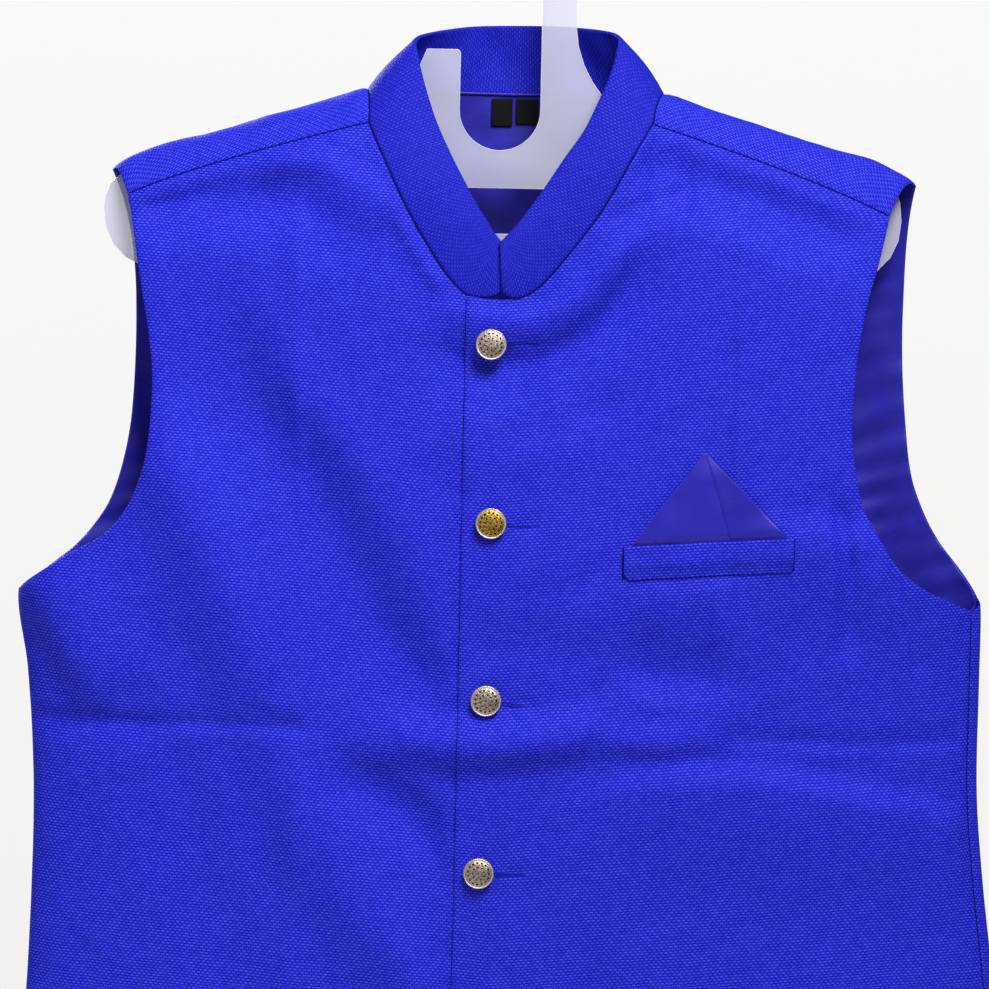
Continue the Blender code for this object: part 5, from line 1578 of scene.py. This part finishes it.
@dataclass
class Hanger:
    """The flat die-cut hanger with its open hook, round throat and lower bar."""

    sheet: float = 1.5
    chamfer: float = 0.45
    hook_inner: float = 23.6
    hook_outer: float = 43.6
    tip_z: float = -26.0
    throat_drop: float = 9.1
    throat_radius: float = 23.5
    prong_drop: float = -25.8
    prong_left: float = -47.2
    seat: float = 4.0
    saddle: float = 5.0
    foot_drop: float = 104.0
    window: tuple[float, float, float, float] = (-62.0, 64.0, 54.8, 81.3)
    window_radius: float = 8.0

    @staticmethod
    def arc(centre: Point, radius: float, start: float, end: float, steps: int) -> list[Point]:
        """Points on an arc, its angles in degrees anticlockwise from +X."""
        angles = [math.radians(mix(start, end, step / steps)) for step in range(steps + 1)]
        return [(centre[0] + radius * math.cos(a), centre[1] + radius * math.sin(a)) for a in angles]

    def top_edge(self, x: float) -> float:
        """Height of the top edge under the cloth."""
        return NECK_POINT_Z - max(float(FORM.shoulder_drop(x)) + self.seat, self.saddle)

    def outline(self) -> list[Point]:
        """The outline in x and z, anticlockwise from the hook's tip."""
        tip, half = (self.hook_inner + self.hook_outer) / 2, (self.hook_outer - self.hook_inner) / 2
        prong, foot = NECK_POINT_Z - self.prong_drop, NECK_POINT_Z - self.foot_drop
        centre = (0.0, -self.hook_inner)
        points = self.arc((-tip, self.tip_z - half), half, 180, 360, 16)
        points += self.arc(centre, self.hook_inner, 180, 0, 40)
        points += self.arc((0.0, NECK_POINT_Z - self.throat_drop), self.throat_radius, 0, -180, 40)
        points += [(-self.throat_radius, prong - 2.0), (-24.1, prong - 0.6), (-25.4, prong), (-43.2, prong)]
        points += [(self.prong_left, prong - 9.5)]
        points += [(self.prong_left, NECK_POINT_Z - mix(-14, 0, step / 2)) for step in range(2)]
        points += [(-51.0, NECK_POINT_Z - 0.5), (-57.0, NECK_POINT_Z - self.saddle + 1)]
        points += [(x, self.top_edge(x)) for x in np.linspace(-66, -211, 30)]
        points += [(-219.0, -157.6), (-226.0, -164.0), (-229.0, -171.0), (-229.9, -178.0), (-228.6, -189.0)]
        points += [(-224.0, -199.0), (-216.5, -207.0), (-207.0, foot), (212.5, foot), (222.0, -206.0)]
        points += [(229.5, -198.0), (234.0, -188.0)]
        points += [(235.4, -177.0), (234.4, -166.0), (231.0, -156.0)]
        points += [(x, self.top_edge(x)) for x in np.linspace(224, 70, 30)]
        points += [(60.5, -108.6), (53.5, -99.0), (48.6, -89.5), (45.2, -79.0), (43.8, -68.0)]
        return points + self.arc(centre, self.hook_outer, 0, 180, 56)

    def window_outline(self) -> list[Point]:
        """The opening above the lower bar."""
        left, right, top, bottom = self.window
        radius = self.window_radius
        points = []
        for x, drop, start in ((right, top, 0), (left, top, 90), (left, bottom, 180), (right, bottom, 270)):
            centre_z = NECK_POINT_Z - drop + (radius if drop == bottom else -radius)
            points += self.arc((x - math.copysign(radius, x), centre_z), radius, start, start + 90, 10)
        return points

    def build(self, sheet: Material, cut: Material) -> Object:
        """Makes the hanger, its cut edges eased and finished apart from its faces."""
        work = bmesh.new()
        for outline in (self.outline(), self.window_outline()):
            corners = [work.verts.new((x * MM, -self.sheet / 2 * MM, z * MM)) for x, z in outline]
            for start, end in zip(corners, corners[1:] + corners[:1]):
                work.edges.new((start, end))
        bmesh.ops.triangle_fill(work, use_beauty=True, edges=work.edges[:], normal=(0, -1, 0))
        made = bmesh.ops.extrude_face_region(work, geom=work.faces[:])
        moved = [item for item in made["geom"] if isinstance(item, bmesh.types.BMVert)]
        bmesh.ops.translate(work, verts=moved, vec=(0, self.sheet * MM, 0))
        bmesh.ops.recalc_face_normals(work, faces=work.faces)
        rims = [edge for edge in work.edges if edge.is_manifold and edge.calc_face_angle() > 1.2]
        rims = [edge for edge in rims if abs(edge.verts[0].co.y - edge.verts[1].co.y) < 1e-7]
        eased = {"offset": self.chamfer * MM, "segments": 2, "profile": 0.6, "clamp_overlap": True}
        bmesh.ops.bevel(work, geom=rims, affect="EDGES", **eased)
        for polygon in work.faces:
            polygon.material_index = 0 if abs(polygon.normal.y) > 0.995 else 1
        mesh = end_bmesh(work, "hanger_sheet", 35, sheet, cut)
        return settle(place_mesh("hanger_sheet", mesh), "frosted_plastic", "hanger", "hanger_hook")


@dataclass
class Studio:
    """The plain pale studio: a floor, an even white surround, soft lights and the camera."""

    floor_z: float = -1.72
    floor_radius: float = 3.2
    surround: str = "#F9F9FA"
    surround_low: str = "#F2F1EF"
    air: float = 0.15
    view_width: float = 0.5769
    distance: float = 2.6
    centre: tuple[float, float, float] = (0.0015, 0.0, -0.341)
    roll: float = 1.2
    sensor: float = 36.0
    far: float = 100.0

    def build_floor(self, finish: Material) -> None:
        """Makes the floor below the hem."""
        mesh = bpy.data.meshes.new("studio_floor")
        sides = 128
        angles = [math.tau * k / sides for k in range(sides)]
        radius = self.floor_radius
        ring = [(math.cos(angle) * radius, math.sin(angle) * radius, self.floor_z) for angle in angles]
        mesh.from_pydata(ring, [], [tuple(range(sides))])
        mesh.materials.append(finish)
        place_mesh("studio_floor", mesh)

    def build_surround(self) -> None:
        """A near-white surround that the eye sees, and a weaker even light from it, so the key shapes the folds."""
        world = bpy.data.worlds.new("studio")
        bpy.context.scene.world = world
        nodes = Nodes(world)
        tree = nodes.tree
        height = nodes.axes(add_node(tree, "ShaderNodeTexCoord").outputs["Generated"])[2]
        seen = nodes.blend(nodes.ranged(height, -0.11, 0.10, 0.0, 1.0), self.surround_low, self.surround)
        even = nodes.ranged(height, -1.0, 1.0, 0.5 * self.air, 1.5 * self.air)
        direct = add_node(tree, "ShaderNodeLightPath").outputs["Is Camera Ray"]
        back = tree.nodes["Background"]
        fill(tree, back.inputs[0], nodes.blend(direct, even, seen))
        fill(tree, back.inputs[1], 1.0)

    def add_light(self, name: str, place: Place, size: tuple[float, float], power: float, aim: Place) -> None:
        """Adds a soft rectangular light.

        Args:
            name: The light's name.
            place: Where it stands, in metres.
            size: Its width and height.
            power: Its power in watts.
            aim: The point that it faces.
        """
        lamp = bpy.data.lights.new(name, "AREA")
        lamp.shape = "RECTANGLE"
        lamp.size, lamp.size_y = size
        lamp.energy = power
        light = bpy.data.objects.new(name, lamp)
        way = Vector(aim) - Vector(place)
        light.matrix_world = Matrix.Translation(place) @ way.to_track_quat("-Z", "Y").to_matrix().to_4x4()
        bpy.context.scene.collection.objects.link(light)

    def build_lights(self) -> None:
        """Adds the key light and the weaker fill, and the light behind."""
        self.add_light("key", (0.55, -1.8, 1.65), (1.5, 1.1), 145.0, (-4.0, 0.2, -0.60))
        self.add_light("fill", (-1.5, -1.5, -0.1), (0.8, 0.8), 5.0, (-0.1, 0.0, -0.35))
        self.add_light("back", (-1.3, 1.9, 0.7), (1.0, 0.8), 78.0, (0.0, 0.0, -0.55))

    def build_camera(self) -> None:
        """Adds the camera, square to the jacket and close in on its upper part."""
        lens = bpy.data.cameras.new("camera")
        lens.sensor_width = self.sensor
        lens.lens = self.sensor * self.distance / self.view_width
        lens.clip_end = self.far
        camera = bpy.data.objects.new("camera", lens)
        eye = Vector(self.centre) + Vector((0.0, -self.distance, 0.0))
        level = Matrix.Translation(eye) @ Matrix.Rotation(math.radians(90), 4, "X")
        camera.matrix_world = level @ Matrix.Rotation(math.radians(self.roll), 4, "Z")
        bpy.context.scene.collection.objects.link(camera)
        bpy.context.scene.camera = camera
        bpy.context.scene.view_settings.view_transform = "Standard"


def main() -> None:
    """Builds the jacket, its hanger and the studio."""
    logging.basicConfig(level=logging.INFO, format="%(message)s")
    suiting = Suiting().build()
    satin = Satin("lining_satin_polyester", "#2B28AA", "#1D1B82").build()
    square_satin = Satin("square_satin_polyester", "#2A27AC", "#201E8C", 0.38).build()
    right, left, back = FrontPanel("front_right"), FrontPanel("front_left"), BackPanel()
    right.build(suiting, satin)
    left.build(suiting, satin)
    back.build(suiting)
    back.build_lining(satin)
    collar = Collar()
    # The collar takes a darker copy of the body's suiting: painted shade on the band.
    collar.build(back, Suiting("royal_blue_suiting_collar_shade", thread="#0E129C", thread_pale_and_highlight="#2B31C2").build())
    collar.build_piping(back, satin)
    pocket = ChestPocket(left)
    pocket.build_welt(suiting)
    pocket.build_layer("pocket_square_under", (130.0, 173.0), 0, square_satin)
    pocket.build_layer("pocket_square_over", (77.8, 138.3), 1, square_satin)
    NeckLabels().build(back, LabelTape().build())
    buttons = Buttons(left)
    buttons.build(AgedBrass().build(), AgedBrass("antique_gilt_struck", "#BFA050", "#7E6424", "#261A08").build())
    twist = Twist().build()
    Buttonholes(left, buttons).build(twist)
    # The seam threads are near black: painted shadow in the seam grooves and at the welt's ends.
    SeamShadowThreads().build(back, collar, pocket, Twist("seam_shadow_thread_navy", "#070838").build())
    Hanger().build(FrostedSheet().build(), CutEdge().build())
    studio = Studio()
    studio.build_floor(Floor().build())
    studio.build_surround()
    studio.build_lights()
    studio.build_camera()


if __name__ == "__main__":
    main()
